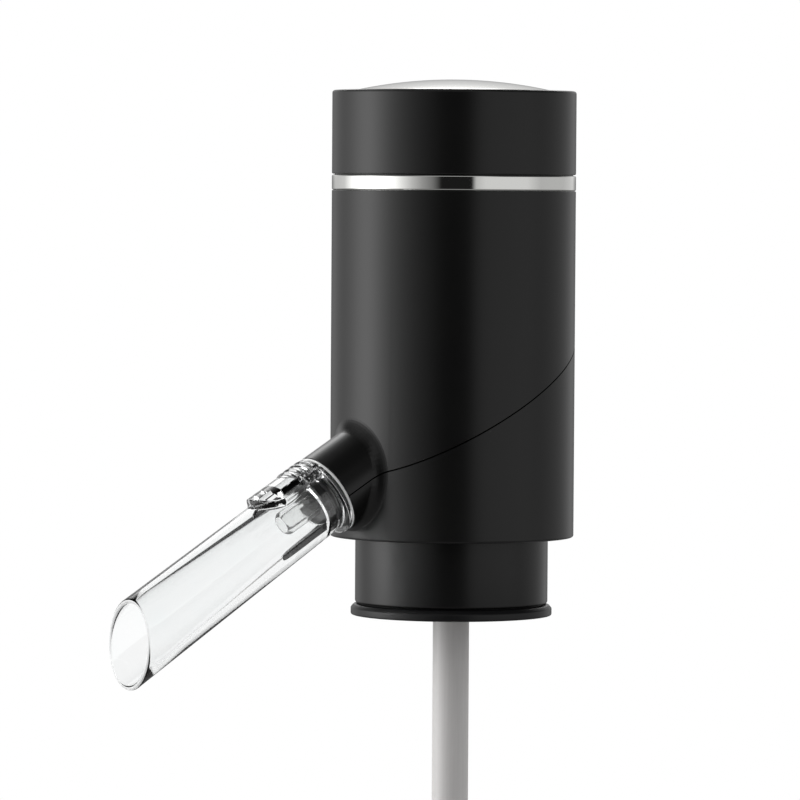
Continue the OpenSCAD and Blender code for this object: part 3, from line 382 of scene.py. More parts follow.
def run_tree(tree, name, **values):
    """The result of a tree with the given inputs, as a plain mesh."""
    holder = bpy.data.objects.new(name + "_holder", bpy.data.meshes.new(name + "_holder"))
    bpy.context.scene.collection.objects.link(holder)
    modifier = holder.modifiers.new(tree.name, "NODES")
    modifier.node_group = tree
    for item in tree.interface.items_tree:
        if item.in_out == "INPUT" and item.name in values:
            modifier[item.identifier] = values[item.name]
    bpy.context.view_layer.update()
    graph = bpy.context.evaluated_depsgraph_get()
    mesh = bpy.data.meshes.new_from_object(holder.evaluated_get(graph))
    bpy.data.objects.remove(holder)
    mesh.name = name
    drop_empty_slots(mesh)
    return mesh


print("inputs:", [item.name for item in TURNING.interface.items_tree if item.in_out == "INPUT"])

# %% [markdown]
# ## Corners with a radius
# An outline is a list of corners: distance from the axis, height, and the radius of the corner, all in
# millimetres. A Bevel modifier would round every edge alike, so a function puts a short arc in place of each
# corner that has a radius. Another gives the corners of a longer arc, such as a rib or a dome.

# %% Rounded outlines


def soften(corners, closed=True, steps=5):
    """Corners (r, z, radius) in mm as points, with an arc at each corner that has a radius."""
    points = []
    count = len(corners)
    for i, (r, z, radius) in enumerate(corners):
        here = Vector((r, z))
        if not radius or (not closed and i in (0, count - 1)):
            points.append((r, z))
            continue
        before = (Vector(corners[i - 1][:2]) - here).normalized()
        after = (Vector(corners[(i + 1) % count][:2]) - here).normalized()
        half = before.angle(after) / 2
        centre = here + (before + after).normalized() * radius / math.sin(half)
        start = here + before * radius / math.tan(half) - centre
        end = here + after * radius / math.tan(half) - centre
        sweep = start.angle_signed(end)
        for k in range(steps + 1):
            spin = Matrix.Rotation(-sweep * k / steps, 2)
            points.append(tuple(centre + spin @ start))
    return points + points[:1] if closed else points


def arc(r, z, radius, first, last, steps):
    """Corners on an arc, in mm and degrees."""
    angles = [math.radians(first + (last - first) * k / steps) for k in range(steps + 1)]
    return [(r + radius * math.cos(a), z + radius * math.sin(a), 0) for a in angles]


square = [(0, 0, 0.5), (2, 0, 0.5), (2, 2, 0.5), (0, 2, 0.5)]
print("a square of 4 corners becomes", len(soften(square)), "points")

# %% [markdown]
# ## From a mesh to a piece of the dispenser
# Every remade piece ends the same way. Its faces are turned outwards and shaded smooth, except across sharp
# edges. It rides on the body that its CAD node belongs to, and stands for it.
# The place of a piece is in its mesh, so the object itself stays at the origin.

# %% Finished pieces
SHARP = math.radians(40)


def outward(mesh):
    """Turns the faces of a closed mesh outwards and shades it smooth up to the sharp angle."""
    bm = bmesh.new()
    bm.from_mesh(mesh)
    bmesh.ops.recalc_face_normals(bm, faces=bm.faces)
    for face in bm.faces:
        face.smooth = True
    for edge in bm.edges:
        edge.smooth = not edge.is_manifold or edge.calc_face_angle() < SHARP
    bm.to_mesh(mesh)
    bm.free()


def finish_piece(name, mesh, body, slot_name, *replaced):
    """Links a mesh as a piece that rides on a body and stands for CAD nodes."""
    outward(mesh)
    obj = bpy.data.objects.new(name, mesh)
    bpy.context.scene.collection.objects.link(obj)
    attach(obj, body)
    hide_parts(*replaced)
    print(f"{name}: {len(mesh.polygons)} faces on {body}")
    return obj


def outline_object(name, points):
    """An object that holds an outline in mm for a tree to read."""
    outline = bpy.data.meshes.new(name + "_outline")
    edges = [(i, i + 1) for i in range(len(points) - 1)]
    outline.from_pydata([(r * MM, 0, z * MM) for r, z in points], edges, [])
    profile = bpy.data.objects.new(name + "_outline", outline)
    bpy.context.scene.collection.objects.link(profile)
    return profile


def turned_piece(name, points, body, slot_name, *replaced, steps=160, place=None):
    """A piece turned from an outline in mm, moved by a matrix if it has its own axis."""
    profile = outline_object(name, points)
    mesh = run_tree(TURNING, name, Profile=profile, Steps=steps, Finish=finishes[slot_name])
    bpy.data.objects.remove(profile)
    if place:
        mesh.transform(place)
    return finish_piece(name, mesh, body, slot_name, *replaced)


print("edges are sharp from", round(math.degrees(SHARP)), "degrees")

# %% [markdown]
# ## Trim ring
# The trim ring is clamped between body and cap, and its two edges are rolled over by the plating. A foot
# holds it in a rebate of the body. Its inner rim stands a hair higher, so that the cap turns on it. That rim
# and the narrow flat beside it are given the black finish instead of chrome: painted shade, which keeps the
# gap under the cap dark. Its radius and levels are read from the CAD node, so it sits where that sits. Only
# what a box can't tell is written down here.

# %% Trim ring


def span(node_name):
    """The radius about Z, the lowest and the highest level of a CAD node, in mm."""
    low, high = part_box(node_name)
    return [round(value / MM, 3) for value in (high[0], low[2], high[2])]


BODY_R, RING_FOOT, Z_CAP = span("trim_ring")
Z_TOP = span("upper_shell")[2]
SHELL_WALL, FOOT_WALL = 1.8, 0.85
SEAT, ROLLED, NEAR = 0.05, 0.35, 0.002
SHELL_IN = BODY_R - SHELL_WALL
FOOT_R = SHELL_IN + FOOT_WALL
ring_low = Z_TOP + 0.02
RIM_R, RIM_H = 26.9, 0.18
ring = turned_piece("trim_ring_plated", soften([
    (SHELL_IN + SEAT, Z_CAP + RIM_H, 0.1), (RIM_R, Z_CAP + RIM_H, 0.05), (RIM_R, Z_CAP, 0),
    (BODY_R, Z_CAP, ROLLED), (BODY_R, ring_low, ROLLED), (FOOT_R, ring_low, 0),
    (FOOT_R, RING_FOOT, 0.1), (SHELL_IN + SEAT, RING_FOOT, 0.1),
]), "body", "chromed_abs", "trim_ring", steps=256)
ring.data.materials.append(finishes["black_abs"])
# The rim and the flat under the cap get the black finish instead of chrome: painted shade for the gap.
bare = [polygon for polygon in ring.data.polygons if polygon.center.z > (Z_CAP - NEAR) * MM]
for polygon in bare:
    polygon.material_index = 1
print("bare faces on the rim:", len(bare))

# %% [markdown]
# ## Button
# The button is a shallow dome with a flange under the cap's rim. Inside it has a seat for its spring and a
# stem that reaches the switch. The outline runs from the top of the dome round the rim and back to the axis
# along the underside, so the skin has the same thickness all over.

# %% Button
Z_CROWN = span("top_cap")[2]
FLANGE_OUT, STEM_LOW, DOME_TOP = span("button_dome")
CROWN = DOME_TOP - Z_CROWN
BUTTON_R, SKIN, STEM_R = 22.5, 1.4, 3
FLANGE_TOP, FLANGE_LOW = 102.8, 101.6
SEAT_OUT, SEAT_IN, SEAT_LOW = 7, 5, 103.4
WELL_R = BUTTON_R - SKIN
BREAK = 0.15
dome_r = (BUTTON_R**2 + CROWN**2) / (2 * CROWN)
dome_z = DOME_TOP - dome_r
rim = math.degrees(math.asin(BUTTON_R / dome_r))


def under(r):
    """A corner on the dome's underside at a distance from the axis."""
    return (r, dome_z + math.sqrt((dome_r - SKIN) ** 2 - r**2), 0)


turned_piece("button_domed", soften(
    arc(0, dome_z, dome_r, 90, 90 - rim + 0.5, 24)
    + [(BUTTON_R, Z_CROWN, 2 * BREAK), (BUTTON_R, FLANGE_TOP, 0), (FLANGE_OUT, FLANGE_TOP, BREAK)]
    + [(FLANGE_OUT, FLANGE_LOW, BREAK), (WELL_R, FLANGE_LOW, BREAK)]
    + [under(r) for r in (WELL_R, 18, 15, 12, 9.5, SEAT_OUT)]
    + [(SEAT_OUT, SEAT_LOW, 0.1), (SEAT_IN, SEAT_LOW, 0.1), under(SEAT_IN), under(STEM_R)]
    + [(STEM_R, STEM_LOW, 2 * BREAK), (0, STEM_LOW, 0)],
    closed=False,
), "button", "chromed_abs", "button_dome", steps=256)

# %% [markdown]
# ## Seal
# The seal is a soft sleeve with a web across its top and three ribs inside, which press on what it is pushed
# over. Its lip stands out under the collar and is set off from it by a narrow groove. Soft rubber rolls over
# at the edge, so the lip is drawn a little lower than the plain CAD ring.

# %% Seal
COLLAR_R, COLLAR_LOW, _ = span("neck_collar")
_, seal_low, WEB_TOP = span("bottle_seal")
LIP_R, LIP_ROLL, LIP_H = 22.7, 0.4, 1.6
WEB_HOLE_R, SLEEVE_R, SEAL_OUT = 9, 14.6, 18.95
RIB_R, RIB_FROM, RIB_COUNT = 0.7, -4.2, 3
GROOVE_R, GROOVE_TOP, SHOULDER_R = 20.9, COLLAR_LOW - 0.2, 21.4
LIP_LOW = seal_low - LIP_ROLL
rib_gap = (RIB_FROM - COLLAR_LOW) / RIB_COUNT
ribs = []
for i in range(RIB_COUNT):
    ribs += arc(SLEEVE_R, RIB_FROM - i * rib_gap, RIB_R, 90, 270, 8)
turned_piece("bottle_seal_moulded", soften(
    [(WEB_HOLE_R, WEB_TOP, 0.2), (WEB_HOLE_R, 0, 0.3), (SLEEVE_R, 0, 0.3)]
    + ribs
    + [(SLEEVE_R, LIP_LOW + LIP_H, 0.6), (SLEEVE_R + LIP_H, LIP_LOW, 0.5)]
    + [(LIP_R, LIP_LOW, 0.35), (LIP_R, LIP_LOW + LIP_H, 0.5), (LIP_R - 0.6, COLLAR_LOW - 0.4, 0.4)]
    + [(SHOULDER_R, GROOVE_TOP, 0.2), (GROOVE_R, GROOVE_TOP, 0.1), (GROOVE_R, COLLAR_LOW, 0.1)]
    + [(SEAL_OUT, COLLAR_LOW, 0), (SEAL_OUT, WEB_TOP, 0)],
), "body", "silicone", "bottle_seal", steps=192)

# %% [markdown]
# ## A rounded edge on a CAD piece
# The collar is a moulding with a plate inside, which has holes for screws and a barb for the air tube, so it
# isn't turned again. Its mesh is copied, its doubled corners are merged, and only the outer lower edge is
# bevelled. The dark line above the lip is the shade on that rounded edge.

# %% Collar with a rounded edge
EDGE_R, EDGE_STEPS = 0.55, 5
collar_mesh = nodes["neck_collar"].data.copy()
collar_mesh.name = "neck_collar_rounded"
bm = bmesh.new()
bm.from_mesh(collar_mesh)
bm.transform(nodes["neck_collar"].matrix_world)
bmesh.ops.remove_doubles(bm, verts=bm.verts, dist=WELD)


def on_low_edge(corner):
    """Whether a corner lies on the collar's outer lower edge."""
    low_enough = abs(corner.co.z / MM - COLLAR_LOW) < NEAR
    return low_enough and corner.co.xy.length / MM > COLLAR_R - 0.15


low_edges = [edge for edge in bm.edges if all(on_low_edge(corner) for corner in edge.verts)]
bmesh.ops.bevel(bm, geom=low_edges, offset=EDGE_R * MM, segments=EDGE_STEPS, profile=0.5, affect="EDGES")
bm.to_mesh(collar_mesh)
bm.free()
finish_piece("neck_collar_rounded", collar_mesh, "body", "black_abs", "neck_collar")
print("edges rounded:", len(low_edges))

# %% [markdown]
# ## Tubes and guide
# The grey tube is drawn in two stages that slide in each other, with a moulded guide at the lower end of the
# outer one. A thicker slider at the top of the inner stage keeps it straight. The tubes are cut square, and
# their edges are only broken.

# %% Tubes and guide
TUBE_R, TUBE_LOW, TUBE_TOP = span("suction_tube")
GUIDE_R, GUIDE_LOW, GUIDE_TOP = span("tube_guide")
SLIDER_R, INNER_LOW, INNER_TOP = span("inner_tube")
INNER_R, TUBE_WALL, INNER_WALL, SLIDER = 2.8, 0.9, 0.7, 14
TUBE_IN, INNER_IN = TUBE_R - TUBE_WALL, INNER_R - INNER_WALL
SLIDER_LOW = INNER_TOP - SLIDER
turned_piece("suction_tube_outer", soften([
    (TUBE_IN, TUBE_TOP, 0.2), (TUBE_R, TUBE_TOP, 0.2), (TUBE_R, TUBE_LOW, 0.2), (TUBE_IN, TUBE_LOW, 0.2),
]), "body", "grey_tube", "suction_tube", steps=96)
turned_piece("tube_guide_moulded", soften([
    (INNER_R + SEAT, GUIDE_LOW, 0.3), (GUIDE_R, GUIDE_LOW, 0.5), (GUIDE_R, GUIDE_TOP, 0.5),
    (TUBE_R + SEAT, GUIDE_TOP, 0.15), (TUBE_R + SEAT, TUBE_LOW, 0), (INNER_R + SEAT, TUBE_LOW, 0),
]), "body", "grey_fitting", "tube_guide", steps=96)
turned_piece("suction_tube_inner", soften([
    (INNER_IN, INNER_TOP, 0.15), (SLIDER_R, INNER_TOP, 0.15), (SLIDER_R, SLIDER_LOW, 0.15),
    (INNER_R, SLIDER_LOW, 0), (INNER_R, INNER_LOW, 0.15), (INNER_IN, INNER_LOW, 0.15),
]), "inner_tube", "grey_tube", "inner_tube", steps=96)

# %% [markdown]
# ## Nozzle
# The nozzle inside the spout is a short milky tube with a rounded end. It has its own axis, which slants down
# towards the front. So it is turned upright like the others, and a matrix then lays its mesh along that
# axis. The slant is read from the joint along which the spout is pulled off.

# %% Nozzle
pull = next(joint for joint in frame["joints"] if joint["name"] == "spout_pull")
TILT = math.asin(-pull["axis"][2])
AXIS_H, BOSS_LEN = 30.2, 7.65
Z_AXIS = span("lower_shell")[1] + AXIS_H
BOSS_REACH = BODY_R / math.cos(TILT) + BOSS_LEN
CHANNEL_R, NOZZLE_R = 1.7, 2.8
nozzle_root, nozzle_end = BOSS_REACH - 7, BOSS_REACH + 14
SPOUT_AXIS = Matrix.Translation((0, 0, Z_AXIS * MM)) @ Matrix.Rotation(math.pi / 2 + TILT, 4, "X")
turned_piece("aerator_nozzle_moulded", soften([
    (CHANNEL_R, nozzle_root, 0), (NOZZLE_R, nozzle_root, 0.2), (NOZZLE_R, nozzle_end, 1.0),
    (CHANNEL_R, nozzle_end, 0.3),
], steps=8), "body", "pale_nozzle", "aerator_nozzle", steps=96, place=SPOUT_AXIS)

# %% [markdown]
# ## Six cells in a ring
# Six AAA cells stand round the motor, every second one on its head, so that short strips can join them in
# series. A cell is a turned outline again: a foil sleeve whose ends are shrunk over a steel can, and a nub.
# It repeats by a rule, so a second Geometry Nodes tree uses the first as a group, marks the bare steel,
# puts the cell on the points of a circle and turns over those with an odd index.

# %% Geometry Nodes tree: ring of cells


def cell_ring_tree():
    """A tree that sets a turned cell on a circle and turns over every second one."""
    tree = bpy.data.node_groups.new("ring_of_cells", "GeometryNodeTree")
    for name, kind in (
        ("Profile", "Object"), ("Steps", "Int"), ("Count", "Int"), ("Ring", "Float"), ("Middle", "Float"),
        ("Steel", "Float"), ("Sleeve", "Material"), ("Can", "Material"),
    ):
        tree.interface.new_socket(name, in_out="INPUT", socket_type="NodeSocket" + kind)
    tree.interface.new_socket("Geometry", in_out="OUTPUT", socket_type="NodeSocketGeometry")
    given = add(tree, "NodeGroupInput").outputs
    cell = add(tree, "GeometryNodeGroup", {
        "Profile": given["Profile"], "Steps": given["Steps"], "Finish": given["Sleeve"],
    }, node_tree=TURNING)
    spot = add(tree, "GeometryNodeInputPosition").outputs[0]
    across = add(tree, "ShaderNodeVectorMath", {0: spot, 1: (1, 1, 0)}, operation="MULTIPLY")
    reach = add(tree, "ShaderNodeVectorMath", {0: across.outputs[0]}, operation="LENGTH")
    bare = add(tree, "FunctionNodeCompare", {
        0: reach.outputs["Value"], 1: given["Steel"],
    }, operation="LESS_THAN")
    marked = add(tree, "GeometryNodeStoreNamedAttribute", {
        "Geometry": cell.outputs[0], "Name": "bare_steel", "Value": bare.outputs[0],
    }, data_type="BOOLEAN", domain="FACE")
    circle = add(tree, "GeometryNodeMeshCircle", {"Vertices": given["Count"], "Radius": given["Ring"]})
    height = add(tree, "ShaderNodeCombineXYZ", {"Z": given["Middle"]})
    lifted = add(tree, "GeometryNodeTransform", {
        "Geometry": circle.outputs[0], "Translation": height.outputs[0],
    })
    index = add(tree, "GeometryNodeInputIndex").outputs[0]
    odd = add(tree, "FunctionNodeIntegerMath", {0: index, 1: 2}, operation="MODULO")
    flip = add(tree, "ShaderNodeMath", {0: odd.outputs[0], 1: math.pi}, operation="MULTIPLY")
    turn = add(tree, "ShaderNodeCombineXYZ", {"X": flip.outputs[0]})
    ring = add(tree, "GeometryNodeInstanceOnPoints", {
        "Points": lifted.outputs[0], "Instance": marked.outputs[0], "Rotation": turn.outputs[0],
    })
    real = add(tree, "GeometryNodeRealizeInstances", {"Geometry": ring.outputs[0]})
    mark = add(tree, "GeometryNodeInputNamedAttribute", {"Name": "bare_steel"}, data_type="BOOLEAN")
    sleeved = add(tree, "GeometryNodeSetMaterial", {
        "Geometry": real.outputs[0], "Material": given["Sleeve"],
    })
    plated = add(tree, "GeometryNodeSetMaterial", {
        "Geometry": sleeved.outputs[0], "Selection": mark.outputs[0], "Material": given["Can"],
    })
    clean = add(tree, "GeometryNodeRemoveAttribute", {"Geometry": plated.outputs[0], "Name": "bare_steel"})
    add(tree, "NodeGroupOutput", {0: clean.outputs[0]})
    return tree


CELL_RING_TREE = cell_ring_tree()
print("tree:", CELL_RING_TREE.name, "with", len(CELL_RING_TREE.nodes), "nodes")

# %% [markdown]
# ## The cells themselves
# The first cell's box gives the size of a cell, the radius of the ring and its height. The outline runs from
# the flat base up the sleeve to the nub. A shallow groove at each end parts the sleeve from the bare steel.

# %% Cells
low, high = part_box("cell_1")
CELL_R = (high[0] - low[0]) / 2 / MM
CELL_HALF = (high[2] - low[2]) / 2 / MM
CELL_RING = (high[0] + low[0]) / 2 / MM
CELL_MIDDLE = (high[2] + low[2]) / 2 / MM
CELL_NODES = [f"cell_{i}" for i in range(1, 7)]
NUB_R, NUB_H = 1.9, 1
BASE_R, BASE_SLEEVE_R, TOP_SLEEVE_R, TOP_R, BARE_R = 3.9, 4.15, 3.7, 3.45, 4
GROOVE, SHRUNK = 0.3, 0.6
base, shoulder = -CELL_HALF, CELL_HALF - NUB_H
sleeve_low, sleeve_top = base + 0.05, shoulder - 0.05
cell_outline = outline_object("cells_sleeved", soften([
    (0, base, 0), (BASE_R, base, 0.1), (BASE_R, base + GROOVE, 0), (BASE_SLEEVE_R, base + GROOVE, 0),
    (BASE_SLEEVE_R, sleeve_low, 0.1), (CELL_R, sleeve_low, SHRUNK), (CELL_R, sleeve_top, SHRUNK),
    (TOP_SLEEVE_R, sleeve_top, 0.12), (TOP_SLEEVE_R, sleeve_top - GROOVE, 0), (TOP_R, sleeve_top - GROOVE, 0),
    (TOP_R, sleeve_top - 0.1, 0.08), (NUB_R, sleeve_top - 0.1, 0.15), (NUB_R, CELL_HALF, 0.25),
    (0, CELL_HALF, 0),
], closed=False))
cell_mesh = run_tree(
    CELL_RING_TREE, "cells_sleeved", Profile=cell_outline, Steps=64, Count=len(CELL_NODES),
    Ring=CELL_RING * MM, Middle=CELL_MIDDLE * MM, Steel=BARE_R * MM,
    Sleeve=finishes["cell_jacket"], Can=finishes["motor_steel"],
)
bpy.data.objects.remove(cell_outline)
finish_piece("cells_sleeved", cell_mesh, "body", "cell_jacket", *CELL_NODES)
print("cell materials:", [material.name for material in cell_mesh.materials])

# %% [markdown]
# ## The clear spout
# The spout is one moulding: a flange that meets the boss, a tube that droops a little and widens to a
# slanted mouth, and a raised thumb tab with three grip ridges. Clear plastic shows every flaw of a mesh, and
# pieces that only pass through each other would show their hidden walls. A Boolean could join them, but it
# leaves uneven faces that the refraction shows. So the spout is one closed skin, made row by row: each row is
# a ring round the spout's axis, and the tab is where the outer radius swells. These are its sizes, as
# distances along and from that axis.

# %% Spout: sizes
START = BOSS_REACH + 0.15
FLANGE, FLANGE_R, FLANGE_EDGE = 1.6, 9.3, 0.25
FILLET, FILLET_RUN = 0.3, 0.25
SOCKET_R, SOCKET_END = 6.35, BOSS_REACH + 5.6
PIVOT = START + FLANGE / 2
DROOP = math.tan(math.radians(1.7))
MOUTH_Y = -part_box("spout")[0][1] / MM
MOUTH_R, LIP = 8.4, 0.6
ROOT_R, FLARE = 7.85, 0.0118
WALL_ROOT, WALL_MOUTH, TAPER_FROM, TAPER_TO = 2.85, 1.15, 58, 95
TAB_HALF, TAB_TOP, TAB_END, TAB_EDGE = 6.1, 9.15, BOSS_REACH + 18.2, 0.45
RIDGE_H, RIDGE_STEP, RIDGES = 0.35, 1.6, 3
KEYWAY_HALF, KEYWAY_TOP, KEYWAY_END = 2.5, 7.9, BOSS_REACH + 11.5
KEYWAY_EDGE, KEYWAY_RUN = 0.2, 0.3
print("spout from", round(START, 1), "to the mouth at y =", round(-MOUTH_Y, 1), "mm")

# %% [markdown]
# ## Outside of the spout
# The tube's axis droops by less than two degrees, so its height is a straight line that starts at the
# flange. A smooth step takes the place of a sharp edge where the tab rises out of the tube, because a mesh of
# rings can't follow a sharp edge that runs across them. The ridges are a squared sine along the tab.

# %% Spout: outside


def step(low, high, value):
    """0 below low, 1 above high and smooth between."""
    t = min(max((value - low) / (high - low), 0), 1)
    return t * t * (3 - 2 * t)


def sag(z):
    """How far the tube's axis lies below the boss's axis at a distance along it."""
    return max(z - PIVOT, 0) * DROOP


def tube_r(z):
    """Outer radius of the plain tube, which widens towards the mouth."""
    return ROOT_R + FLARE * (z - PIVOT)


def outer_r(z, angle):
    """Outer radius with the thumb tab and its ridges."""
    plain = tube_r(z)
    if math.cos(angle) <= 0:
        return plain
    side = abs(TAB_TOP * math.sin(angle))
    beyond = max(z - (TAB_END - TAB_HALF), 0)
    inside = TAB_HALF - math.hypot(side, beyond)
    raised = TAB_TOP + sag(z) * math.cos(angle)
    along = (z - PIVOT) / RIDGE_STEP
    ridge = RIDGE_H * math.sin(math.pi * (along % 1)) ** 2 if 1 <= along < 1 + RIDGES else 0
    return plain + max(raised + ridge - plain, 0) * step(-TAB_EDGE, TAB_EDGE, inside)


print("tab stands", round(outer_r(TAB_END - TAB_HALF, 0) - tube_r(TAB_END - TAB_HALF), 2), "mm proud")

# %% [markdown]
# ## Inside of the spout
# The bore is tapered, so that the core can be drawn out of the mould, and the wall thins towards the mouth.
# Under the tab the bore has a keyway, which keeps the wall there thin, so that it doesn't sink as it cools.

# %% Spout: inside


def wall(z):
    """Thickness of the wall, which thins towards the mouth."""
    share = min(max((z - TAPER_FROM) / (TAPER_TO - TAPER_FROM), 0), 1)
    return WALL_ROOT + (WALL_MOUTH - WALL_ROOT) * share


def bore_r(z, angle, plain):
    """Radius of the bore, cut outwards under the tab by the keyway."""
    if math.cos(angle) <= 0:
        return plain
    side = abs(KEYWAY_TOP * math.sin(angle))
    across = 1 - step(KEYWAY_HALF - KEYWAY_EDGE, KEYWAY_HALF + KEYWAY_EDGE, side)
    along = 1 - step(KEYWAY_END - KEYWAY_RUN, KEYWAY_END + KEYWAY_RUN, z)
    return plain + max(KEYWAY_TOP + sag(z) * math.cos(angle) - plain, 0) * across * along


def mouth_z(r, angle):
    """Distance along the axis at which a point of the wall meets the plane of the mouth."""
    z = TAPER_FROM
    for _ in range(8):
        lift = r * math.cos(angle) - sag(z)
        z = (MOUTH_Y - lift * math.sin(TILT)) / math.cos(TILT)
    return z


print("mouth, on top and below, in mm:", [round(mouth_z(MOUTH_R, turn), 1) for turn in (0, math.pi)])

# %% [markdown]
# ## The outline at one angle
# A column is the wall's whole outline at one angle round the axis: the face of the flange, its rounded rim,
# the tab and the tube outside, the half round lip, and the bore back to the socket. Each point also says
# whether the face after it is ground and gets the white finish of the painted highlight. Every column has
# the same number of points, so that neighbours join.

# %% Spout: outline at one angle
# A quarter turn in four steps, in radians
QUARTER = (0, 0.4, 0.8, 1.2, 1.57)
TAB_ROWS, TUBE_ROWS, BORE_ROWS = 72, 10, 12
LIP_STEPS, GROUND_HIGHLIGHT_FROM, GROUND_HIGHLIGHT_TO = 12, 3, 8


def spaced(first, last, count):
    """Values at even steps, with both ends."""
    return [first + (last - first) * k / count for k in range(count + 1)]


def flange_rows(entry):
    """The face and the rounded rim of the flange, from the socket outwards."""
    face = FLANGE_R - 0.4
    middle = FLANGE_R - FLANGE_EDGE
    front, back = START + FLANGE_EDGE, START + FLANGE - FLANGE_EDGE
    rows = [(entry + 0.2, START, False), ((entry + face) / 2, START, False), (face, START, False)]
    for a in QUARTER[1:]:
        rows.append((middle + FLANGE_EDGE * math.sin(a), front - FLANGE_EDGE * math.cos(a), True))
    rows.append((FLANGE_R, START + 0.7, False))
    for a in QUARTER:
        rows.append((middle + FLANGE_EDGE * math.cos(a), back + FLANGE_EDGE * math.sin(a), False))
    return rows


def outside_rows(angle, end):
    """The tab and the tube up to the lip, with a small fillet where they leave the flange."""
    first, last = START + FLANGE + 0.05, TAB_END + 1.2
    rows = []
    for z in spaced(first, last, TAB_ROWS):
        fillet = FILLET * math.exp(-(z - first) / FILLET_RUN)
        rows.append((outer_r(z, angle) + fillet, z, False))
    return rows + [(tube_r(z), z, False) for z in spaced(last, end, TUBE_ROWS)[1:]]


def lip_rows(end):
    """The half round lip, ground and given the painted highlight where it faces outwards."""
    half = wall(end) / 2
    middle = tube_r(end) - half
    rows = []
    for k in range(1, LIP_STEPS):
        a = math.pi * k / LIP_STEPS
        ground = GROUND_HIGHLIGHT_FROM <= k <= GROUND_HIGHLIGHT_TO
        rows.append((middle + half * math.cos(a), end + LIP * math.sin(a), ground))
    return rows


def bore_rows(angle, end):
    """The bore from the lip past the keyway's end, the step of the socket and the socket itself."""
    far = KEYWAY_END + 0.5
    near = far - 1
    levels = spaced(end, far, BORE_ROWS) + spaced(far, near, 10)[1:] + spaced(near, SOCKET_END + 0.2, 4)[1:]
    rows = [(bore_r(z, angle, tube_r(z) - wall(z)), z, False) for z in levels]
    rows.append((bore_r(SOCKET_END, angle, SOCKET_R - 0.25), SOCKET_END + 0.05, False))
    return rows + [(bore_r(z, angle, SOCKET_R), z, False) for z in (SOCKET_END, START + 2.45, START + 0.2)]


def spout_column(angle):
    """The closed outline of the wall at one angle, as (radius, along, ground with its painted highlight)."""
    end = mouth_z(MOUTH_R, angle) - LIP
    flange = flange_rows(bore_r(START, angle, SOCKET_R))
    return flange + outside_rows(angle, end) + lip_rows(end) + bore_rows(angle, end)


print("points in a column:", len(spout_column(0)))

# %% [markdown]
# ## The skin of the spout
# The columns are set round the axis, moved to their place in the frame and joined to their neighbours by
# four-sided faces. Cycles would let a clear piece cast a dark shadow, so this one casts none, as real clear
# plastic casts almost none.

# %% Spout: skin
AROUND = 240


def spout_point(z, r, angle):
    """A point of the spout in metres, from its place along and round the axis."""
    lift = r * math.cos(angle) - sag(z)
    return (
        r * math.sin(angle) * MM,
        (-z * math.cos(TILT) - lift * math.sin(TILT)) * MM,
        (Z_AXIS - z * math.sin(TILT) + lift * math.cos(TILT)) * MM,
    )


angles = [2 * math.pi * k / AROUND for k in range(AROUND)]
columns = [spout_column(angle) for angle in angles]
rows = len(columns[0])
corners = [spout_point(z, r, angle) for angle, column in zip(angles, columns) for r, z, _ in column]
faces = []
for k in range(AROUND):
    here, there = k * rows, (k + 1) % AROUND * rows
    for i in range(rows):
        after = (i + 1) % rows
        faces.append((here + i, there + i, there + after, here + after))
spout_mesh = bpy.data.meshes.new("spout_clear")
spout_mesh.from_pydata(corners, [], faces)
spout_mesh.materials.append(finishes["clear_plastic"])
spout_mesh.materials.append(finishes["ground_and_painted_highlight"])
# Faces on the ground edges take the white finish, which paints their highlight.
for polygon in spout_mesh.polygons:
    ground = columns[0][polygon.index % rows][2]
    polygon.material_index = 1 if ground else 0
spout = finish_piece("spout_clear", spout_mesh, "spout", "clear_plastic", "spout")
spout.visible_diffuse = False
spout.visible_shadow = False

# %% [markdown]
# ## A studio that wraps round the object
# Matt black shows nothing but its highlights, so the light decides how the body reads. The photograph has a
# broad soft panel on the left, a weaker one on the right, darkness round the camera and white behind. Area
# lights could give that, but the chrome would mirror their hard edges. So the world is built as such a
# studio, from colour ramps over a direction's azimuth, counted from the camera, and over its rise, which is
# the sine of its height.

# %% World: ramps over azimuth and rise
world = bpy.data.worlds.new("studio_ring")
world.use_nodes = True
tree = world.node_tree
tree.nodes.clear()
direction = add(tree, "ShaderNodeTexCoord").outputs["Generated"]
turned = add(tree, "ShaderNodeMapping", {"Vector": direction, "Rotation": (0, 0, math.pi / 2 - AZIMUTH)})
parts = add(tree, "ShaderNodeSeparateXYZ", {0: turned.outputs[0]})
angle = add(tree, "ShaderNodeMath", {0: parts.outputs["Y"], 1: parts.outputs["X"]}, operation="ARCTAN2")
azimuth = add(tree, "ShaderNodeMapRange", {
    "Value": angle.outputs[0], "From Min": -math.pi, "From Max": math.pi,
})
rise = add(tree, "ShaderNodeMapRange", {"Value": parts.outputs["Z"], "From Min": -1.0, "From Max": 1.0})

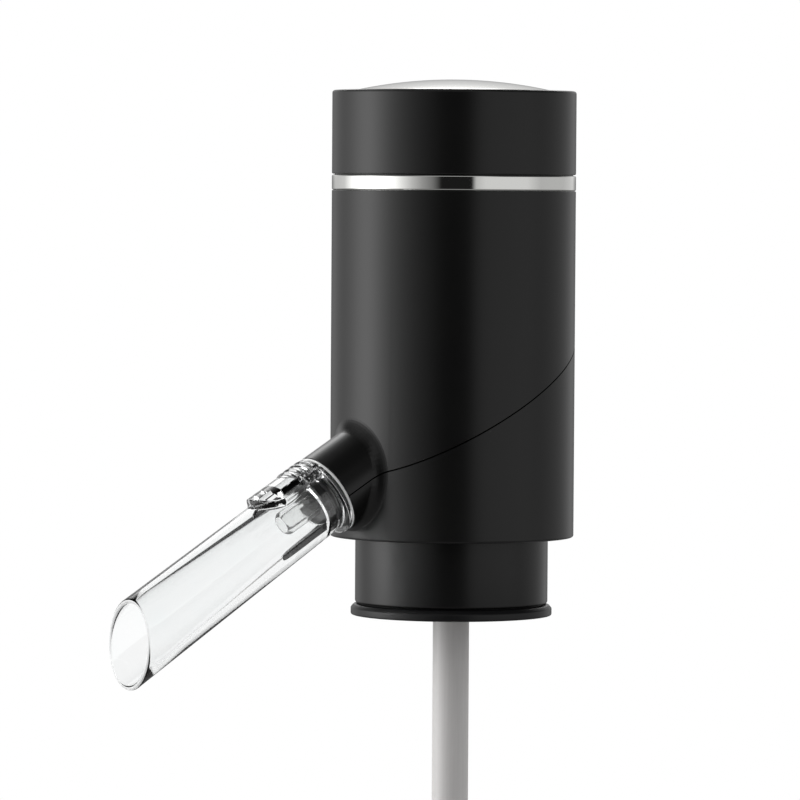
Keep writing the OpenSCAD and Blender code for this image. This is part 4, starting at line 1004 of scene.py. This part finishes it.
# Each ramp has what it reads, the largest value of that, and its stops as value and light
LIGHT = {
    "ring": (azimuth, 180, (
        (-180, 0.12), (-165, 0.2), (-151, 0.5), (-126, 0.6), (-112, 1.12), (-100, 2.2), (-86, 3.2),
        (-74, 2.3), (-62, 1.3), (-50, 0.8), (-40, 0.5), (-30, 0.3), (-20, 0.17), (-12, 0.01), (17, 0.01),
        (21, 0.5), (30, 0.62), (73, 0.62), (90, 0.44), (126, 0.46), (151, 0.6), (165, 0.2), (180, 0.12),
    )),
    "panel_rise": (rise, 1, (
        (-1, 0.04), (-0.5, 0.05), (-0.3, 0.25), (-0.15, 1), (0.15, 1), (0.3, 0.25), (0.5, 0.05), (1, 0.04),
    )),
    "soft_rise": (rise, 1, (
        (-1, 0.1), (-0.62, 0.12), (-0.4, 0.8), (-0.2, 1), (0.15, 1), (0.45, 1.7), (0.75, 1.5), (1, 0.6),
    )),
    "backdrop": (azimuth, 180, ((-180, 1), (-166, 1), (-142, 0), (142, 0), (166, 1), (180, 1))),
    "backdrop_rise": (rise, 1, (
        (-1, 0), (0, 0.05), (0.12, 0.34), (0.3, 0.66), (0.4, 1), (0.47, 4.4), (0.62, 4.4), (0.72, 2.2),
        (0.85, 1), (1, 0.4),
    )),
    "front": (azimuth, 180, ((-180, 0), (-50, 0), (-28, 1), (28, 1), (50, 0), (180, 0))),
    "front_rise": (rise, 1, ((-1, 0), (0.24, 0), (0.42, 0.5), (0.6, 0.6), (0.7, 0), (1, 0))),
    "floor_rise": (rise, 1, ((-1, 0.2), (-0.6, 0.25), (-0.36, 0.14), (-0.26, 0), (1, 0))),
    "through_rise": (rise, 1, ((-1, 0.03), (-0.53, 0.03), (-0.49, 1), (0.55, 1), (0.6, 0.03), (1, 0.03))),
}
ramps = {}
for name, (source, reach, stops) in LIGHT.items():
    ramp = add(tree, "ShaderNodeValToRGB", {0: source.outputs[0]}, name=name)
    while len(ramp.color_ramp.elements) < len(stops):
        ramp.color_ramp.elements.new(1.0)
    for element, (at, light) in zip(ramp.color_ramp.elements, stops):
        element.position = (at / reach + 1) / 2
        element.color = (light, light, light, 1)
    ramps[name] = ramp.outputs[0]
print("studio ramps:", {name: len(stops) for name, (source, reach, stops) in LIGHT.items()})

# %% [markdown]
# ## Which light each kind of ray sees
# Gloss mirrors the two panels of limited height, a backdrop that starts above the horizon, a faint patch of
# ceiling over the camera and a weak light from the floor. Pale surfaces are lit by the same ring with a
# bright ceiling. Light that comes through clear plastic sees white, with dark only far above and below,
# which draws thin dark lines along its edges. The camera itself sees plain white. A table says which two
# lights make each next one, and a Light Path node tells the kinds of ray apart.

# %% World: which light each kind of ray sees
WHITE = (1, 1, 1, 1)
rays = add(tree, "ShaderNodeLightPath").outputs
lit = {"white": WHITE, **ramps}
for name, first, second, blend in (
    ("panels", "ring", "panel_rise", "MULTIPLY"),
    ("behind", "backdrop", "backdrop_rise", "MULTIPLY"),
    ("ceiling", "front", "front_rise", "MULTIPLY"),
    ("gloss", "panels", "behind", "ADD"),
    ("gloss", "gloss", "ceiling", "ADD"),
    ("gloss", "gloss", "floor_rise", "ADD"),
    ("bright", "ring", "white", "LIGHTEN"),
    ("through", "bright", "through_rise", "MULTIPLY"),
    ("soft", "ring", "soft_rise", "MULTIPLY"),
):
    lit[name] = add(tree, "ShaderNodeMix", {
        FACTOR: 1.0, FIRST: lit[first], SECOND: lit[second],
    }, data_type="RGBA", blend_type=blend).outputs[MIXED]
seen = lit["soft"]
for ray, name in (("Is Glossy Ray", "gloss"), ("Is Transmission Ray", "through"), ("Is Camera Ray", "white")):
    seen = add(tree, "ShaderNodeMix", {
        FACTOR: rays[ray], FIRST: seen, SECOND: lit[name],
    }, data_type="RGBA").outputs[MIXED]
sky = add(tree, "ShaderNodeBackground", {0: seen})
add(tree, "ShaderNodeOutputWorld", {0: sky.outputs[0]})
bpy.context.scene.world = world
print("world nodes:", len(tree.nodes))

# %% [markdown]
# ## Floor
# The floor is a plain white sheet, low enough to clear the foot of the tube when that is drawn out. It lights
# the underside a little, shows through the clear spout from above, and is left out of the mirrored light,
# which the studio already gives. It fades out towards its rim, so that no edge shows, and its back is
# transparent, so that the underside of the object can be looked at too.

# %% Floor
FLOOR_Z, FLOOR_R, FADE_FROM = -0.28, 0.55, 0.33
GLOW = 0.05
floor_mesh = bpy.data.meshes.new("pale_floor")
level = Matrix.Translation((0, 0, FLOOR_Z))
bm = bmesh.new()
bmesh.ops.create_circle(bm, cap_ends=True, segments=96, radius=FLOOR_R, matrix=level)
bm.to_mesh(floor_mesh)
bm.free()
floor = bpy.data.objects.new("pale_floor", floor_mesh)
bpy.context.scene.collection.objects.link(floor)
material, tree, place = start_finish("paper_sweep_white")
tone = speckle(tree, place, 30, 4.0, "#f2f2f2", "#f7f7f7")[1]
paper = add(tree, "ShaderNodeBsdfPrincipled", {
    "Base Color": tone, "Roughness": 0.9, "Emission Color": WHITE, "Emission Strength": GLOW,
})
flat = add(tree, "ShaderNodeVectorMath", {0: place, 1: (1, 1, 0)}, operation="MULTIPLY")
far = add(tree, "ShaderNodeVectorMath", {0: flat.outputs[0]}, operation="LENGTH")
fade = add(tree, "ShaderNodeMapRange", {
    "Value": far.outputs["Value"], "From Min": FADE_FROM, "From Max": FLOOR_R,
}, interpolation_type="SMOOTHSTEP")
back = add(tree, "ShaderNodeNewGeometry").outputs["Backfacing"]
unseen = add(tree, "ShaderNodeMath", {0: fade.outputs[0], 1: back}, operation="MAXIMUM")
clear = add(tree, "ShaderNodeBsdfTransparent")
end_finish("pale_floor", material, add(tree, "ShaderNodeMixShader", {
    0: unseen.outputs[0], 1: paper.outputs[0], 2: clear.outputs[0],
}))
dress(floor, material)
floor.visible_glossy = False
print("floor at", FLOOR_Z, "m")
